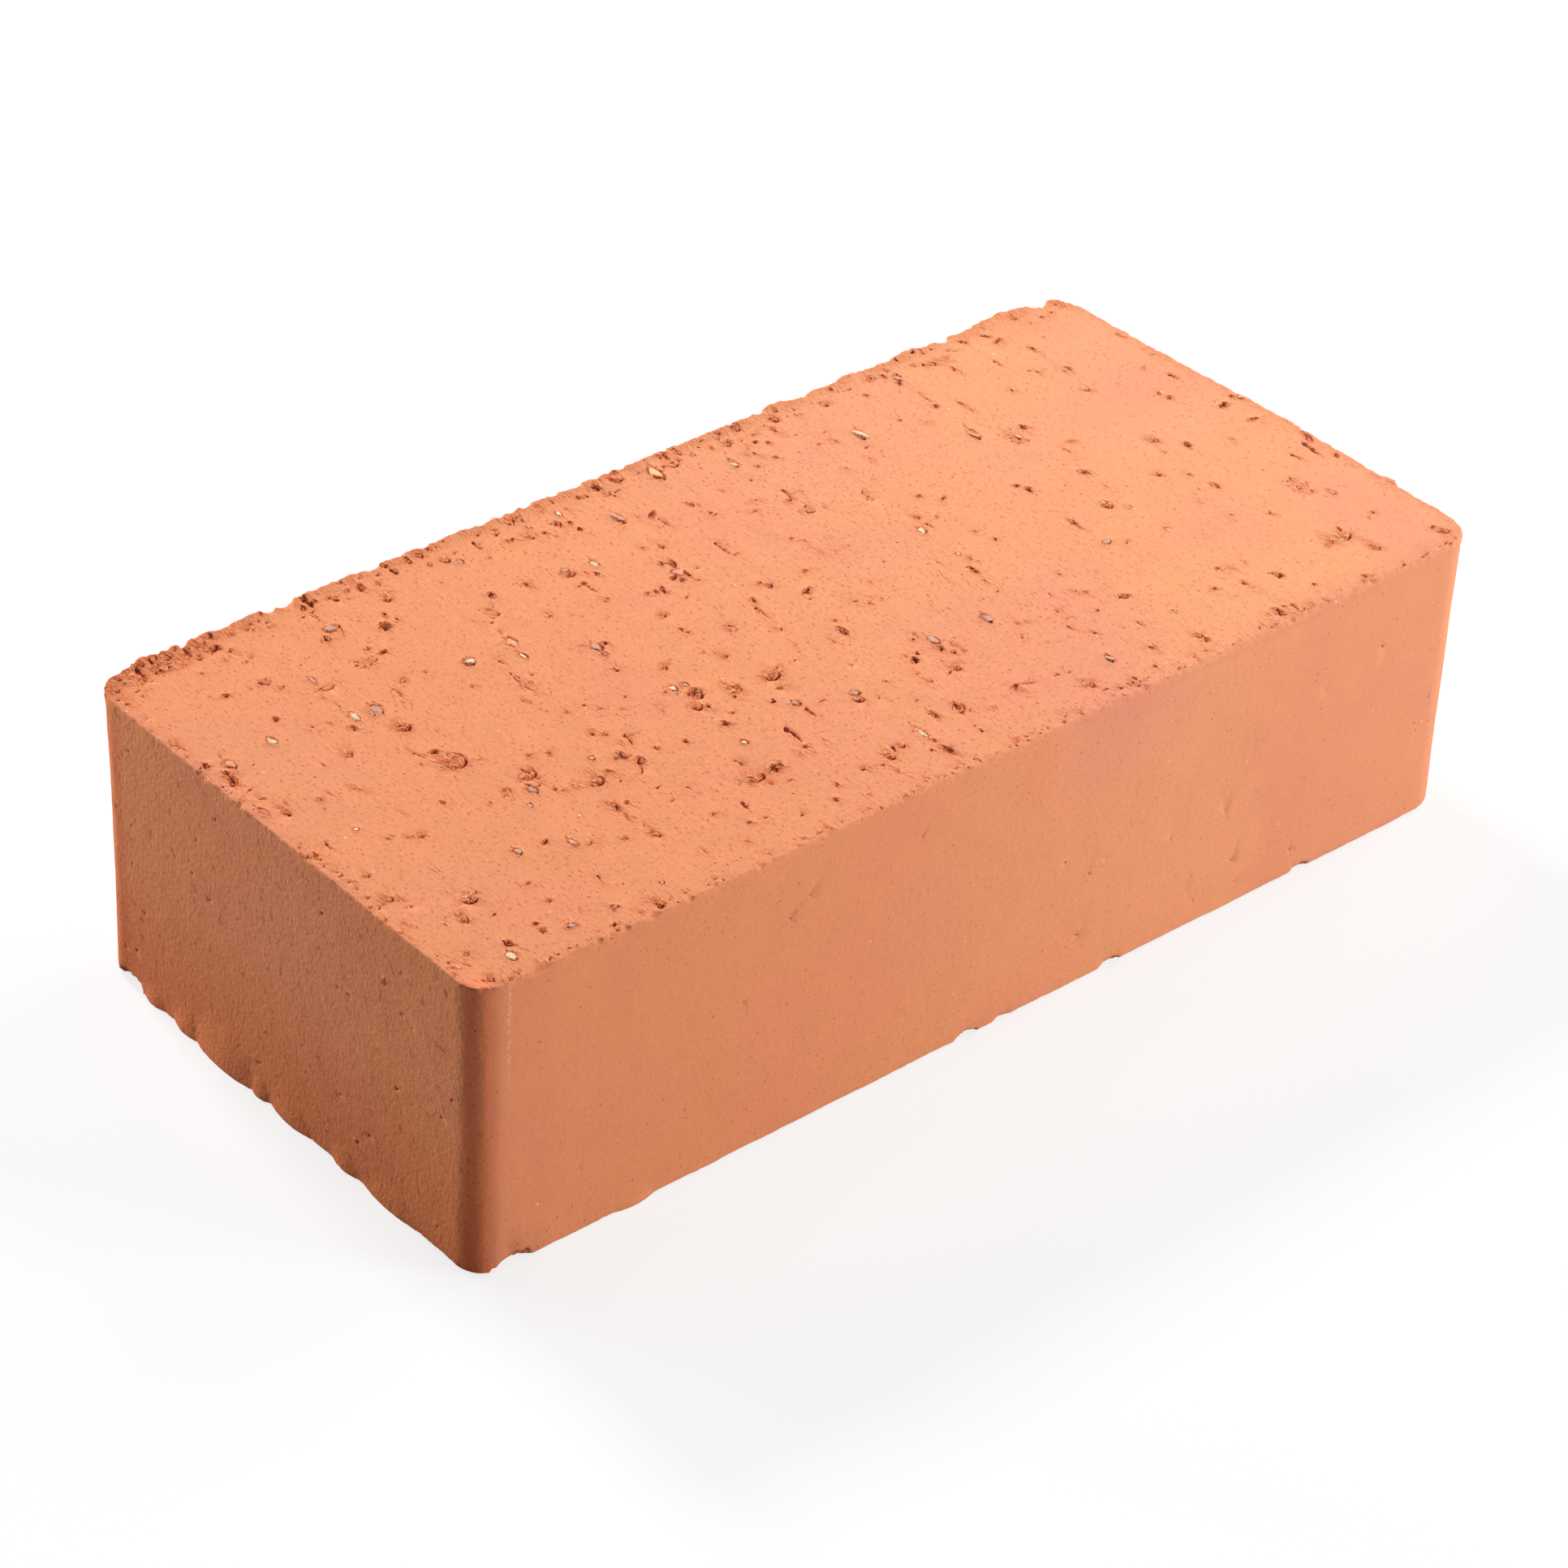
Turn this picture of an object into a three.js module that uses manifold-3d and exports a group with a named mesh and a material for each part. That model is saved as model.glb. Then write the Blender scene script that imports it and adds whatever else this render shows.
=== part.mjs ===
// Solid clay brick, wire-cut from an extruded column of clay and fired in one piece.
//
// A die gives the column its section, a long rectangle with round corners, so the four upright
// faces are smooth. Wires cut the column into bricks, so the two beds are flat but torn: grit
// that the wire drags leaves teardrop pits, and the wire crumbles the arrises it leaves by.
// The origin is the middle of the lower bed, +X runs along the stretcher faces, +Z is the
// direction of extrusion, and the wire travels along -Y. All sizes are in millimetres.

import * as THREE from "three";
import { mergeVertices } from "three/addons/utils/BufferGeometryUtils.js";
import Module from "manifold-3d";

// Driving dimensions: the brick
const LENGTH = 250; // along a stretcher face
const WIDTH = 120; // along a header face
const HEIGHT = 65; // from bed to bed
const CORNER_RADIUS = 9; // upright corners, formed by the die
const HEADER_LEAN = 2.8; // how far the right header falls back at its far end, from drying

// Upright faces: the clay shrinks a little more between the beds, and dries in slow waves
const FACE_HOLLOW = 0.35; // at mid height, behind the arrises
const WAVE_DEPTH = 0.4; // from crest to trough
const WAVE_PITCH = 92; // from crest to crest, along the face

// Arrises: the edges between a bed and the upright faces
const ARRIS_ROLL = 0.7; // rounding that the wire leaves on every arris
const ARRIS_SLANT = 0.8; // a chip's height on the face over its depth into the bed
const CHIP_DEPTH = 2.6; // deepest chip, into the bed
const CHIP_PITCH = 8.5; // mean distance between chips
const CHIP_LENGTH = 15; // longest chip, along the arris
const CHIP_SMALLEST = 0.3; // smallest chip, as a share of the longest and the deepest
const KNOCK_SHARPNESS = 1.5; // above 1 the edge of a knock is blunter than a chip's

// Pits: places where the wire pulled a grain of grit through the bed
const PIT_PITCH = 23; // mean distance between pits
const PIT_DRIFT = 0.12; // least distance of a pit from its cell's edge, as a share of the cell
const PIT_MARGIN = 7; // clear bed kept between the outermost pits and the upright faces
const PIT_WIDTH = 5.6; // widest pit
const PIT_SMALLEST = 0.35; // width of the smallest pit, as a share of the widest
const PIT_TAIL = 9; // longest tail, left behind a grain as the wire dragged it
const PIT_WAIST = 0.45; // width half way down a tail, as a share of the pit's
const PIT_DEPTH = 1.9; // deepest pit
const PIT_SPREAD = 0.4; // least tail and depth for a pit's width, as a share of the most
const PIT_SKEW = 0.35; // largest turn of a tail away from the wire's line, in radians

// How finely the surfaces are divided
const FACE_STEP = 3; // along the faces
const CORNER_STEPS = 6; // round a corner
const RISE_STEPS = 4; // up a face, between its arrises
const ARRIS_STEPS = 3; // round an arris
const PIT_SIDES = 8;
const PIT_RINGS = 3; // round the blunt end of a pit

// A place where an arris was knocked or rubbed away in handling, measured from the nearest
// upright corner: sides are -1 or 1, inset is the distance along each face.
function knock(sideX, sideY, insetX, insetY, reach, depth) {
  const x = sideX * (LENGTH / 2 - insetX);
  const y = sideY * (WIDTH / 2 - insetY);
  return { place: new THREE.Vector2(x, y), reach, depth };
}

// The two cut beds: each has its own pattern of damage. A tear is the share of the full chip
// depth that an arris loses.
const UPPER_BED = {
  z: HEIGHT,
  chipSeed: 11,
  pitSeed: 23,
  tear: { far: 1, near: 0.3, header: 0.45 },
  knocks: [
    knock(-1, 1, 6, 1.5, 6, 1.5),
    knock(-1, 1, 42, 0, 4, 2.2),
    knock(1, 1, 8, 1, 4, 2.2),
    knock(1, 1, 3, 13, 4, 1.8),
    knock(1, 1, 3, 21, 3, 1.7),
  ],
};
const LOWER_BED = {
  z: 0,
  chipSeed: 47,
  pitSeed: 59,
  tear: { far: 0.6, near: 0.4, header: 0.35 },
  knocks: [
    knock(-1, -1, 8, 0, 7, 1.8),
    knock(-1, 1, 0, 10, 7, 1.8),
    knock(1, -1, 4, 1.5, 7, 1.8),
  ],
};

// Starts the run of random numbers that one pattern is drawn from, so that it repeats.
function startPattern(seed) {
  THREE.MathUtils.seededRandom(seed);
}

// The next random number of the run, between two limits.
function between(low, high) {
  return THREE.MathUtils.lerp(low, high, THREE.MathUtils.seededRandom());
}

// The die's section: four corner arcs, each followed by the straight face after it,
// counter-clockwise from the near right corner.
function sectionCurves() {
  const x = LENGTH / 2 - CORNER_RADIUS;
  const y = WIDTH / 2 - CORNER_RADIUS;
  const centres = [
    [x, -y],
    [x, y],
    [-x, y],
    [-x, -y],
  ];
  const arcs = centres.map(([cx, cy], corner) => {
    const start = ((corner - 1) * Math.PI) / 2;
    const end = start + Math.PI / 2;
    return new THREE.EllipseCurve(cx, cy, CORNER_RADIUS, CORNER_RADIUS, start, end);
  });
  return arcs.flatMap((arc, corner) => {
    const next = arcs[(corner + 1) % arcs.length];
    return [arc, new THREE.LineCurve(arc.getPoint(1), next.getPoint(0))];
  });
}

// Stations round the section, each with its point, outward normal and distance from the start.
function sectionStations() {
  const stations = [];
  let along = 0;
  for (const curve of sectionCurves()) {
    const length = curve.getLength();
    const steps = curve.isEllipseCurve ? CORNER_STEPS : Math.ceil(length / FACE_STEP);
    for (let i = 0; i < steps; i += 1) {
      const tangent = curve.getTangent(i / steps);
      stations.push({
        point: curve.getPoint(i / steps),
        normal: new THREE.Vector2(tangent.y, -tangent.x),
        along: along + (length * i) / steps,
      });
    }
    along += length;
  }
  return { stations, girth: along };
}

// Chips along one bed's arris, by their place round the section.
function arrisChips(bed, girth) {
  const count = Math.max(1, Math.round(girth / CHIP_PITCH));
  startPattern(bed.chipSeed);
  return Array.from({ length: count }, (_, i) => ({
    along: ((i + between(0, 1)) * girth) / count,
    reach: (CHIP_LENGTH / 2) * between(CHIP_SMALLEST, 1),
    depth: CHIP_DEPTH * between(CHIP_SMALLEST, 1) ** 2,
  }));
}

// What is lost at a share of the way from the middle of a chip or knock to its end.
function bitten(depth, share, sharpness) {
  return share < 1 ? depth * (1 - share * share) ** sharpness : 0;
}

// How far the arris is worn back at a station: the roll that the wire leaves everywhere, and
// the deepest loss there, of the chips, in proportion to how much that arris is torn, and of
// the knocks.
function arrisLoss(bed, chips, girth, station) {
  const { x, y } = station.normal;
  const tear = bed.tear.header * x * x + (y > 0 ? bed.tear.far : bed.tear.near) * y * y;
  const chipped = chips.map((chip) => {
    const gap = Math.abs(station.along - chip.along);
    return tear * bitten(chip.depth, Math.min(gap, girth - gap) / chip.reach, 1);
  });
  const knocked = bed.knocks.map(({ place, reach, depth }) => {
    return bitten(depth, station.point.distanceTo(place) / reach, KNOCK_SHARPNESS);
  });
  return ARRIS_ROLL + Math.max(...chipped, ...knocked);
}

// How far the right header has fallen back at a place: it eases in along the brick from its
// middle, and across it from the near side to the far one.
function headerLean(x, y) {
  const along = THREE.MathUtils.smoothstep(x, 0, LENGTH / 2);
  const across = THREE.MathUtils.smoothstep(y, 0, WIDTH / 2);
  return HEADER_LEAN * along * across;
}

// The quarter round of one arris, from the face to the bed: each point's depth behind the
// face line and height from the bed.
function arrisRound(loss) {
  return Array.from({ length: ARRIS_STEPS + 1 }, (_, i) => {
    const turn = (Math.PI / 2) * (i / ARRIS_STEPS);
    return {
      depth: loss * (1 - Math.cos(turn)),
      height: loss * ARRIS_SLANT * (1 - Math.sin(turn)),
    };
  });
}

// The upright outline at a station, from the lower bed to the upper one.
function uprightProfile(station, girth, lowerLoss, upperLoss) {
  const waves = Math.max(1, Math.round(girth / WAVE_PITCH));
  const phase = (2 * Math.PI * waves * station.along) / girth;
  const wave = (WAVE_DEPTH * (1 - Math.cos(phase))) / 2;
  const bottom = arrisRound(lowerLoss)
    .reverse()
    .map(({ depth, height }) => ({ depth, z: LOWER_BED.z + height }));
  const top = arrisRound(upperLoss).map(({ depth, height }) => ({ depth, z: UPPER_BED.z - height }));
  const low = bottom.at(-1).z;
  const high = top[0].z;
  const face = Array.from({ length: RISE_STEPS - 1 }, (_, i) => {
    const rise = (i + 1) / RISE_STEPS;
    const bulge = Math.sin(Math.PI * rise);
    return { depth: (FACE_HOLLOW + wave) * bulge, z: THREE.MathUtils.lerp(low, high, rise) };
  });
  return [...bottom, ...face, ...top];
}

// The closed skin through the upright profiles, with a flat bed across its first and last rings.
function loft(stations, profiles) {
  const levels = profiles[0].length;
  const count = stations.length;
  const positions = profiles.flatMap((profile, i) =>
    profile.flatMap(({ depth, z }) => {
      const { point, normal } = stations[i];
      const x = point.x - normal.x * depth;
      const y = point.y - normal.y * depth;
      return [x - headerLean(x, y), y, z];
    }),
  );
  const vertex = (i, level) => (i % count) * levels + level;
  const index = [];
  for (let i = 0; i < count; i += 1) {
    for (let level = 0; level < levels - 1; level += 1) {
      const a = vertex(i, level);
      const b = vertex(i + 1, level);
      const c = vertex(i + 1, level + 1);
      const d = vertex(i, level + 1);
      index.push(a, b, c, a, c, d);
    }
  }
  for (const level of [0, levels - 1]) {
    const ring = stations.map((_, i) => {
      const at = 3 * vertex(i, level);
      return new THREE.Vector2(positions[at], positions[at + 1]);
    });
    for (const [a, b, c] of THREE.ShapeUtils.triangulateShape(ring, [])) {
      const face = level === 0 ? [c, b, a] : [a, b, c];
      index.push(...face.map((i) => vertex(i, level)));
    }
  }
  const geometry = new THREE.BufferGeometry();
  geometry.setAttribute("position", new THREE.Float32BufferAttribute(positions, 3));
  return geometry.setIndex(index);
}

// The brick as cut, before its beds are pitted.
function cutBrick() {
  const { stations, girth } = sectionStations();
  const lowerChips = arrisChips(LOWER_BED, girth);
  const upperChips = arrisChips(UPPER_BED, girth);
  const profiles = stations.map((station) =>
    uprightProfile(
      station,
      girth,
      arrisLoss(LOWER_BED, lowerChips, girth, station),
      arrisLoss(UPPER_BED, upperChips, girth, station),
    ),
  );
  return loft(stations, profiles);
}

// The teardrop that one grain cuts, turned about Y: a blunt end that leads along the wire's
// travel and a tail that thins out behind it. The middle of the blunt end is at the origin.
function teardrop(width, tail) {
  const radius = width / 2;
  const end = Array.from({ length: PIT_RINGS }, (_, i) => {
    const turn = (Math.PI / 2) * ((i + 1) / PIT_RINGS);
    return new THREE.Vector2(radius * Math.sin(turn), -radius * Math.cos(turn));
  });
  const profile = [
    new THREE.Vector2(0, -radius),
    ...end,
    new THREE.Vector2(PIT_WAIST * radius, tail / 2),
    new THREE.Vector2(0, tail),
  ];
  return new THREE.LatheGeometry(profile, PIT_SIDES, Math.PI / PIT_SIDES);
}

// The cutters of one bed's pits: a grid of teardrops, each moved within its cell and given a
// size, a tail and a skew of its own.
function bedPits(bed) {
  const spanX = LENGTH - 2 * PIT_MARGIN;
  const spanY = WIDTH - 2 * PIT_MARGIN;
  const columns = 2 * Math.max(1, Math.round(spanX / PIT_PITCH / 2));
  const rows = 2 * Math.max(1, Math.round(spanY / PIT_PITCH / 2));
  startPattern(bed.pitSeed);
  return Array.from({ length: columns * rows }, (_, i) => {
    const size = between(PIT_SMALLEST, 1);
    const width = PIT_WIDTH * size;
    const depth = PIT_DEPTH * size * between(PIT_SPREAD, 1);
    const pit = teardrop(width, PIT_TAIL * size * between(PIT_SPREAD, 1));
    const column = (i % columns) + between(PIT_DRIFT, 1 - PIT_DRIFT);
    const row = Math.floor(i / columns) + between(PIT_DRIFT, 1 - PIT_DRIFT);
    pit.scale(1, 1, (2 * depth) / width);
    pit.rotateZ(between(-PIT_SKEW, PIT_SKEW));
    pit.translate((column / columns - 0.5) * spanX, (row / rows - 0.5) * spanY, bed.z);
    return pit;
  });
}

const wasm = await Module();
wasm.setup();

// A closed geometry as a solid that can be cut.
function solidOf(geometry) {
  const bare = geometry.clone();
  bare.deleteAttribute("normal");
  bare.deleteAttribute("uv");
  const merged = mergeVertices(bare, 1e-4);
  return new wasm.Manifold(
    new wasm.Mesh({
      numProp: 3,
      vertProperties: merged.attributes.position.array,
      triVerts: new Uint32Array(merged.index.array),
    }),
  );
}

// A solid's faces as a geometry that can be drawn, flat-shaded facet by facet.
function geometryOf(solid) {
  const { vertProperties, triVerts } = solid.getMesh();
  const indexed = new THREE.BufferGeometry();
  indexed.setAttribute("position", new THREE.BufferAttribute(vertProperties, 3));
  indexed.setIndex(new THREE.BufferAttribute(triVerts, 1));
  const geometry = indexed.toNonIndexed();
  geometry.computeVertexNormals();
  return geometry;
}

// The whole brick: the cut column with the pits of both beds taken out of it.
function pittedBrick() {
  const pits = [UPPER_BED, LOWER_BED].flatMap(bedPits);
  return pits.reduce((brick, pit) => brick.subtract(solidOf(pit)), solidOf(cutBrick()));
}

const firedClay = new THREE.MeshStandardMaterial({
  color: 0xe0976c,
  roughness: 0.93,
  metalness: 0,
  flatShading: true,
});

const brick = new THREE.Mesh(geometryOf(pittedBrick()), firedClay);
brick.name = "brick";

const group = new THREE.Group();
group.add(brick);

export default group;
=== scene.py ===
"""Looks of a solid wire-cut clay brick: its torn beds, smooth faces, grit and fired colours.

Shapes are worked out in millimetres as functions of two parameters and put into the meshes in
metres. The wire travels along -Y on both beds, so the line that a grain leaves is on its +Y side.
"""

import logging
import math
from collections.abc import Iterator
from dataclasses import dataclass, field, replace
from enum import Enum
from functools import lru_cache, partial

import bmesh
import bpy
import numpy as np
from mathutils import Matrix, Vector


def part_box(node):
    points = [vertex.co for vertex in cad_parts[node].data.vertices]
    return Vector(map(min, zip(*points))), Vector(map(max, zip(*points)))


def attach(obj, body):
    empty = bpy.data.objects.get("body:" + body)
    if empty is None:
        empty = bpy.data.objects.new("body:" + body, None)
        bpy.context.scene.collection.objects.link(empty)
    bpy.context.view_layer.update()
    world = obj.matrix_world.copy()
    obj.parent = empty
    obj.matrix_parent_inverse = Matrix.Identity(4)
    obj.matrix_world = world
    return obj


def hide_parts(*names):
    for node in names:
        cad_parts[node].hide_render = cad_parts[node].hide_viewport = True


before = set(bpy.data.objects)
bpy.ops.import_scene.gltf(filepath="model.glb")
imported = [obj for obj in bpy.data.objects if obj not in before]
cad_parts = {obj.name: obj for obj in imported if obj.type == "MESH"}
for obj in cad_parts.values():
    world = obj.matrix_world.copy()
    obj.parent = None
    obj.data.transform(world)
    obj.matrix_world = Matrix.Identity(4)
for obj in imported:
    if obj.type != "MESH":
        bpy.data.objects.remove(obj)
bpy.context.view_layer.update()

LOG = logging.getLogger("clay_brick")
MM = 0.001
BODY = "root"
NODE = "brick"

Array = np.ndarray
Triple = tuple[float, float, float]
Colour = Triple
Rows = tuple[tuple[float, ...], ...]
Socket = bpy.types.NodeSocket


# --- Small tools ---


def fired(red: int, green: int, blue: int) -> Colour:
    """A colour in linear light: each screen value undone by its power law, near 0 by its line.

    Args:
        red, green, blue: its screen values from 0 to 255.

    Returns:
        Its linear values from 0 to 1.
    """
    shares = np.array([red, green, blue]) / 255.0
    linear = np.where(shares <= 0.04045, shares / 12.92, ((shares + 0.055) / 1.055) ** 2.4)
    return tuple(float(v) for v in linear)


def smooth(values: Array, low: float, high: float) -> Array:
    """Rises from 0 at low to 1 at high along the cubic 3t^2 - 2t^3."""
    t = np.clip((values - low) / (high - low), 0.0, 1.0)
    return t * t * (3.0 - 2.0 * t)


def ridge(values: Array, centre: float, width: float) -> Array:
    """A rounded ridge: exp(-((values - centre) / width)^2)."""
    return np.exp(-(((values - centre) / width) ** 2))


LATTICE = 256  # cells after which the noise repeats, a power of two
NOISE_GAIN = 1.4  # brings the noise to about -1 to 1


@lru_cache
def noise_table(seed: int) -> tuple[Array, Array]:
    """What the noise of one seed draws from.

    Args:
        seed: chooses another pattern.

    Returns:
        A shuffled order of the lattice corners, and the random slope of each.
    """
    rng = np.random.default_rng(seed)
    order = rng.permutation(LATTICE).astype(np.int32)
    return order, rng.uniform(-1, 1, (3, LATTICE)).astype(np.float32)


def grain_noise(points: Array, period: float | Triple, seed: int) -> Array:
    """Gradient noise: random slopes at the corners of a lattice, blended by a quintic.

    Args:
        points: N x 3 places.
        period: size of a lattice cell, one value or one for each axis.
        seed: chooses another pattern.

    Returns:
        N values from about -1 to 1, around 0.
    """
    order, slopes = noise_table(seed)
    scaled = points / np.asarray(period, float)
    floor = np.floor(scaled)
    offset = (scaled - floor).astype(np.float32).T
    cell = floor.astype(np.int32).T
    ease = offset**3 * (offset * (offset * 6.0 - 15.0) + 10.0)
    total = np.zeros(len(points), np.float32)
    wrap = LATTICE - 1
    for i in (0, 1):
        first = order[(cell[0] + i) & wrap]
        for j in (0, 1):
            second = order[(first + cell[1] + j) & wrap]
            for k in (0, 1):
                key = order[(second + cell[2] + k) & wrap]
                corner = list(enumerate((i, j, k)))
                weight = np.prod([ease[a] if s else 1.0 - ease[a] for a, s in corner], axis=0)
                total += weight * sum(slopes[a][key] * (offset[a] - s) for a, s in corner)
    return NOISE_GAIN * total


def layered(points: Array, *layers: tuple[float, float | Triple, int]) -> Array:
    """A sum of noises, each given by its amount, its period in mm and its seed."""
    return sum(amount * grain_noise(points, period, seed) for amount, period, seed in layers)


# --- Marks: what the wire and the die left in the clay ---


ACROSS = math.pi / 2  # direction of a cut that lies across the travel
DEEPEST_CUT = 0.8
DEEPEST_PLACE = 1.4  # where several cuts meet
LINE_WIDTH = 0.26  # of the line behind a grain
CRACK_WIDTH = 0.34
CRACK_DEPTH = 0.6


class Mark(Enum):
    """What happened at one place of a face."""

    TEAR = "ragged hole where a lump was pulled out"
    SLIT = "narrow groove along the travel, with a hole at its start"
    SMILE = "flake of clay lifted behind a crescent crack"
    SEAT = "crack round a grain of grit that stayed in the clay"
    SCOOP = "smooth shallow dent"
    CRUMBS = "patch of short cracks and crumbs"
    CRACK = "thin crack across the travel"


class Tint(Enum):
    """Colour of a grain of grit."""

    CREAM = 0
    YELLOW = 1
    GREY = 2
    PINK = 3
    RED = 4
    SLATE = 5


@dataclass(frozen=True)
class Stroke:
    """One tapered cut: along a bent line, or round part of an oval.

    Attributes:
        u: middle, across the travel, in mm from the middle of its wound.
        v: middle, ahead along the travel.
        length: from tip to tip in mm, or in radians round an oval.
        width: greatest width in mm.
        depth: greatest depth in mm.
        turn: direction in radians, 0 for ahead.
        bend: how far the middle of the line bows out, in mm.
        oval: half sizes of the oval that it goes round, or None.
    """

    u: float
    v: float
    length: float
    width: float
    depth: float
    turn: float = 0.0
    bend: float = 0.0
    oval: tuple[float, float] | None = None

    def gap(self, across: Array, ahead: Array) -> Array:
        """How far each place is outside the cut, negative inside it.

        With s from -1 to 1 along the cut and t the distance from its line, the cut is where
        |t| is less than half the width times 1 - s^2.

        Args:
            across: distance of each place from the middle of the wound, across the travel.
            ahead: the same, along the travel.

        Returns:
            Distances in mm.
        """
        if self.oval:
            x, y = across / self.oval[0], ahead / self.oval[1]
            size = math.sqrt(self.oval[0] * self.oval[1])
            off = (np.hypot(x, y) - 1.0) * size
            angle = np.mod(np.arctan2(x, y) - self.turn + math.pi, 2 * math.pi) - math.pi
            along, length = angle * size, self.length * size
        else:
            x, y = across - self.u, ahead - self.v
            along = y * math.cos(self.turn) + x * math.sin(self.turn)
            off = x * math.cos(self.turn) - y * math.sin(self.turn)
            length = self.length
        left = np.maximum(1.0 - (2.0 * along / length) ** 2, 0.0)
        beyond = np.maximum(np.abs(along) - length / 2, 0.0)
        return np.abs(off - self.bend * left) - self.width / 2 * left + beyond


@dataclass(frozen=True)
class Wound:
    """One mark on a face, in millimetres from the middle of the face's axes.

    Attributes:
        kind: what sort of mark it is.
        x: place along the face's first axis.
        y: place along its second axis; the travel is against it.
        width: size across the travel.
        length: size along the travel.
        turn: turn of the mark, in degrees, counter-clockwise from outside.
        tint: colour of the grain in it, or None where there is none.
        tail: length of the line behind it.
    """

    kind: Mark
    x: float
    y: float
    width: float
    length: float
    turn: float = 0.0
    tint: Tint | None = None
    tail: float = 0.0

    @property
    def reach(self) -> float:
        """How far it may go from its middle."""
        return 0.9 * max(self.width, self.length) + self.tail + 1.1

    def strokes(self, rng: np.random.Generator) -> list[Stroke]:
        """The cuts that it is made of.

        A tear is one broad cut with spikes, a slit a thin one with a hole at its start, a smile
        and a seat are crescents ahead of their middle, a seat with lines behind it, and crumbs
        are many short cuts.

        Args:
            rng: the wound's random numbers.

        Returns:
            The strokes.
        """
        small, large = sorted((self.width, self.length))
        half = (self.width / 2, self.length / 2)
        deep = min(0.2 + 0.2 * small, DEEPEST_CUT)
        lie = 0.0 if self.length >= self.width else ACROSS

        def spike(turn: float, spread: float, long: float) -> Stroke:
            """A thin cut near the middle.

            Args:
                turn: its direction in radians.
                spread: how far off the middle it may be, as a share of the wound.
                long: its mean length in mm.

            Returns:
                The cut.
            """
            u, v = rng.uniform(-spread, spread, 2) * (self.width, self.length)
            wide = min(rng.uniform(0.2, 0.4), 0.6 * small)
            length, bend = long * rng.uniform(0.7, 1.3), long * rng.uniform(-0.2, 0.2)
            return Stroke(u, v, length, wide, 0.6 * deep, turn, bend)

        def crescent(turn: float, span: float, wide: float, out: float) -> Stroke:
            """A cut round the middle, along the wound's oval times out."""
            return Stroke(0, 0, span, wide, deep, turn, 0.0, (out * half[0], out * half[1]))

        if self.kind is Mark.SLIT:
            start, lean = -0.42 * self.length, rng.uniform(-0.6, 0.6)
            head = Stroke(0, start, 1.5 * self.width, 0.9 * self.width, deep, lean)
            bend = rng.uniform(-0.1, 0.1) * self.length
            line = Stroke(0, 0, self.length, 0.55 * self.width, deep, 0.0, bend)
            return [head, line, spike(rng.uniform(-0.5, 0.5), 0.3, 0.35 * self.length)]
        if self.kind is Mark.CRACK:
            bend = rng.uniform(-0.2, 0.2) * self.width
            line = Stroke(0, 0, self.width, CRACK_WIDTH, CRACK_DEPTH, ACROSS, bend)
            return [line, spike(ACROSS + rng.uniform(-0.7, 0.7), 0.25, 0.5 * self.width)]
        if self.kind is Mark.TEAR:
            wide, turn = min(0.32 * small, 0.7), lie + rng.normal(0, 0.3)
            core = Stroke(0, 0, large, wide, deep, turn, rng.normal(0, 0.15) * large)
            count = 2 + (large > 1.2) + (large > 2) + (large > 3)
            spikes = [spike(lie + rng.normal(0, 0.7), 0.3, 0.75 * large) for _ in range(count)]
            return [core, *spikes]
        if self.kind is Mark.SMILE:
            turn, span = rng.normal(0.45, 0.3), rng.uniform(1.8, 3.2)
            front = crescent(turn, span, min(0.3 + 0.1 * small, 0.6), 1.0)
            behind = spike(0.3, 0.2, 0.6 * large)
            return [front, behind, spike(lie + 0.9, 0.35, 0.5 * large)]
        if self.kind is Mark.SEAT:
            turn, span = rng.normal(0.4, 0.4), rng.uniform(1.2, 2.4)
            made = [crescent(turn, span, min(0.22 + 0.1 * small, 0.5), 0.96)]
            made.append(crescent(rng.uniform(-3.1, 3.1), rng.uniform(0.5, 1.3), 0.22, 1.1))
            tail = self.tail or rng.uniform(0.2, 0.9) * self.length
            middle = -half[1] - tail / 2
            for lean in rng.normal(0, 0.2, 1 + (small > 1.4)):
                bend = rng.normal(0, 0.06) * tail
                made.append(Stroke(0, middle, tail, LINE_WIDTH, 0.4 * deep, lean, bend))
            return made
        if self.kind is Mark.CRUMBS:
            count = round(0.28 * self.width * self.length) + 2
            return [spike(rng.normal(0, 1.0), 0.48, rng.uniform(0.6, 1.3)) for _ in range(count)]
        return []

    def swelling(self, across: Array, ahead: Array, rough: Array) -> tuple[Array, Array]:
        """How the clay round the cuts is raised or sunk, and how sore it is.

        Args:
            across: distance of each place from the middle, across the travel, in mm.
            ahead: the same, along the travel.
            rough: fine noise there.

        Returns:
            Heights in mm, and shares from 0 to 1.
        """
        u, v = 2 * across / self.width, 2 * ahead / self.length
        small = min(self.width, self.length)
        d = np.hypot(u, v) * (1.0 + 0.2 * rough)
        inside = smooth(d, 1.15, 0.75)
        around = smooth((d - 1.0) * small, 1.1, 0.0)
        if self.kind is Mark.SCOOP:
            return -0.5 * smooth(d, 1.15, 0.15), 0.4 * inside
        if self.kind is Mark.SMILE:
            lift = min(0.12 + 0.13 * small, 0.5)
            return lift * inside * smooth(v, -1.0, 0.7) * (1.0 + 0.7 * rough), around
        if self.kind is Mark.CRUMBS:
            return (0.2 * rough - 0.05) * inside, 0.6 * inside
        if self.kind is Mark.TEAR:
            rim = min(0.15 * small, 0.28) * ridge(d, 1.3, 0.35) * smooth(v, 0.6, -0.6)
            sunk = min(0.07 * small, 0.2) * inside
            return rim * (1.0 + rough) - sunk * (1.0 + 2.0 * rough), around
        if self.kind is Mark.SEAT:
            return 0.17 * ridge(d, 1.3, 0.4) * (1.0 + rough) - 0.1 * inside, 0.8 * around
        return 0.04 * around * rough, 0.5 * around


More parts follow.
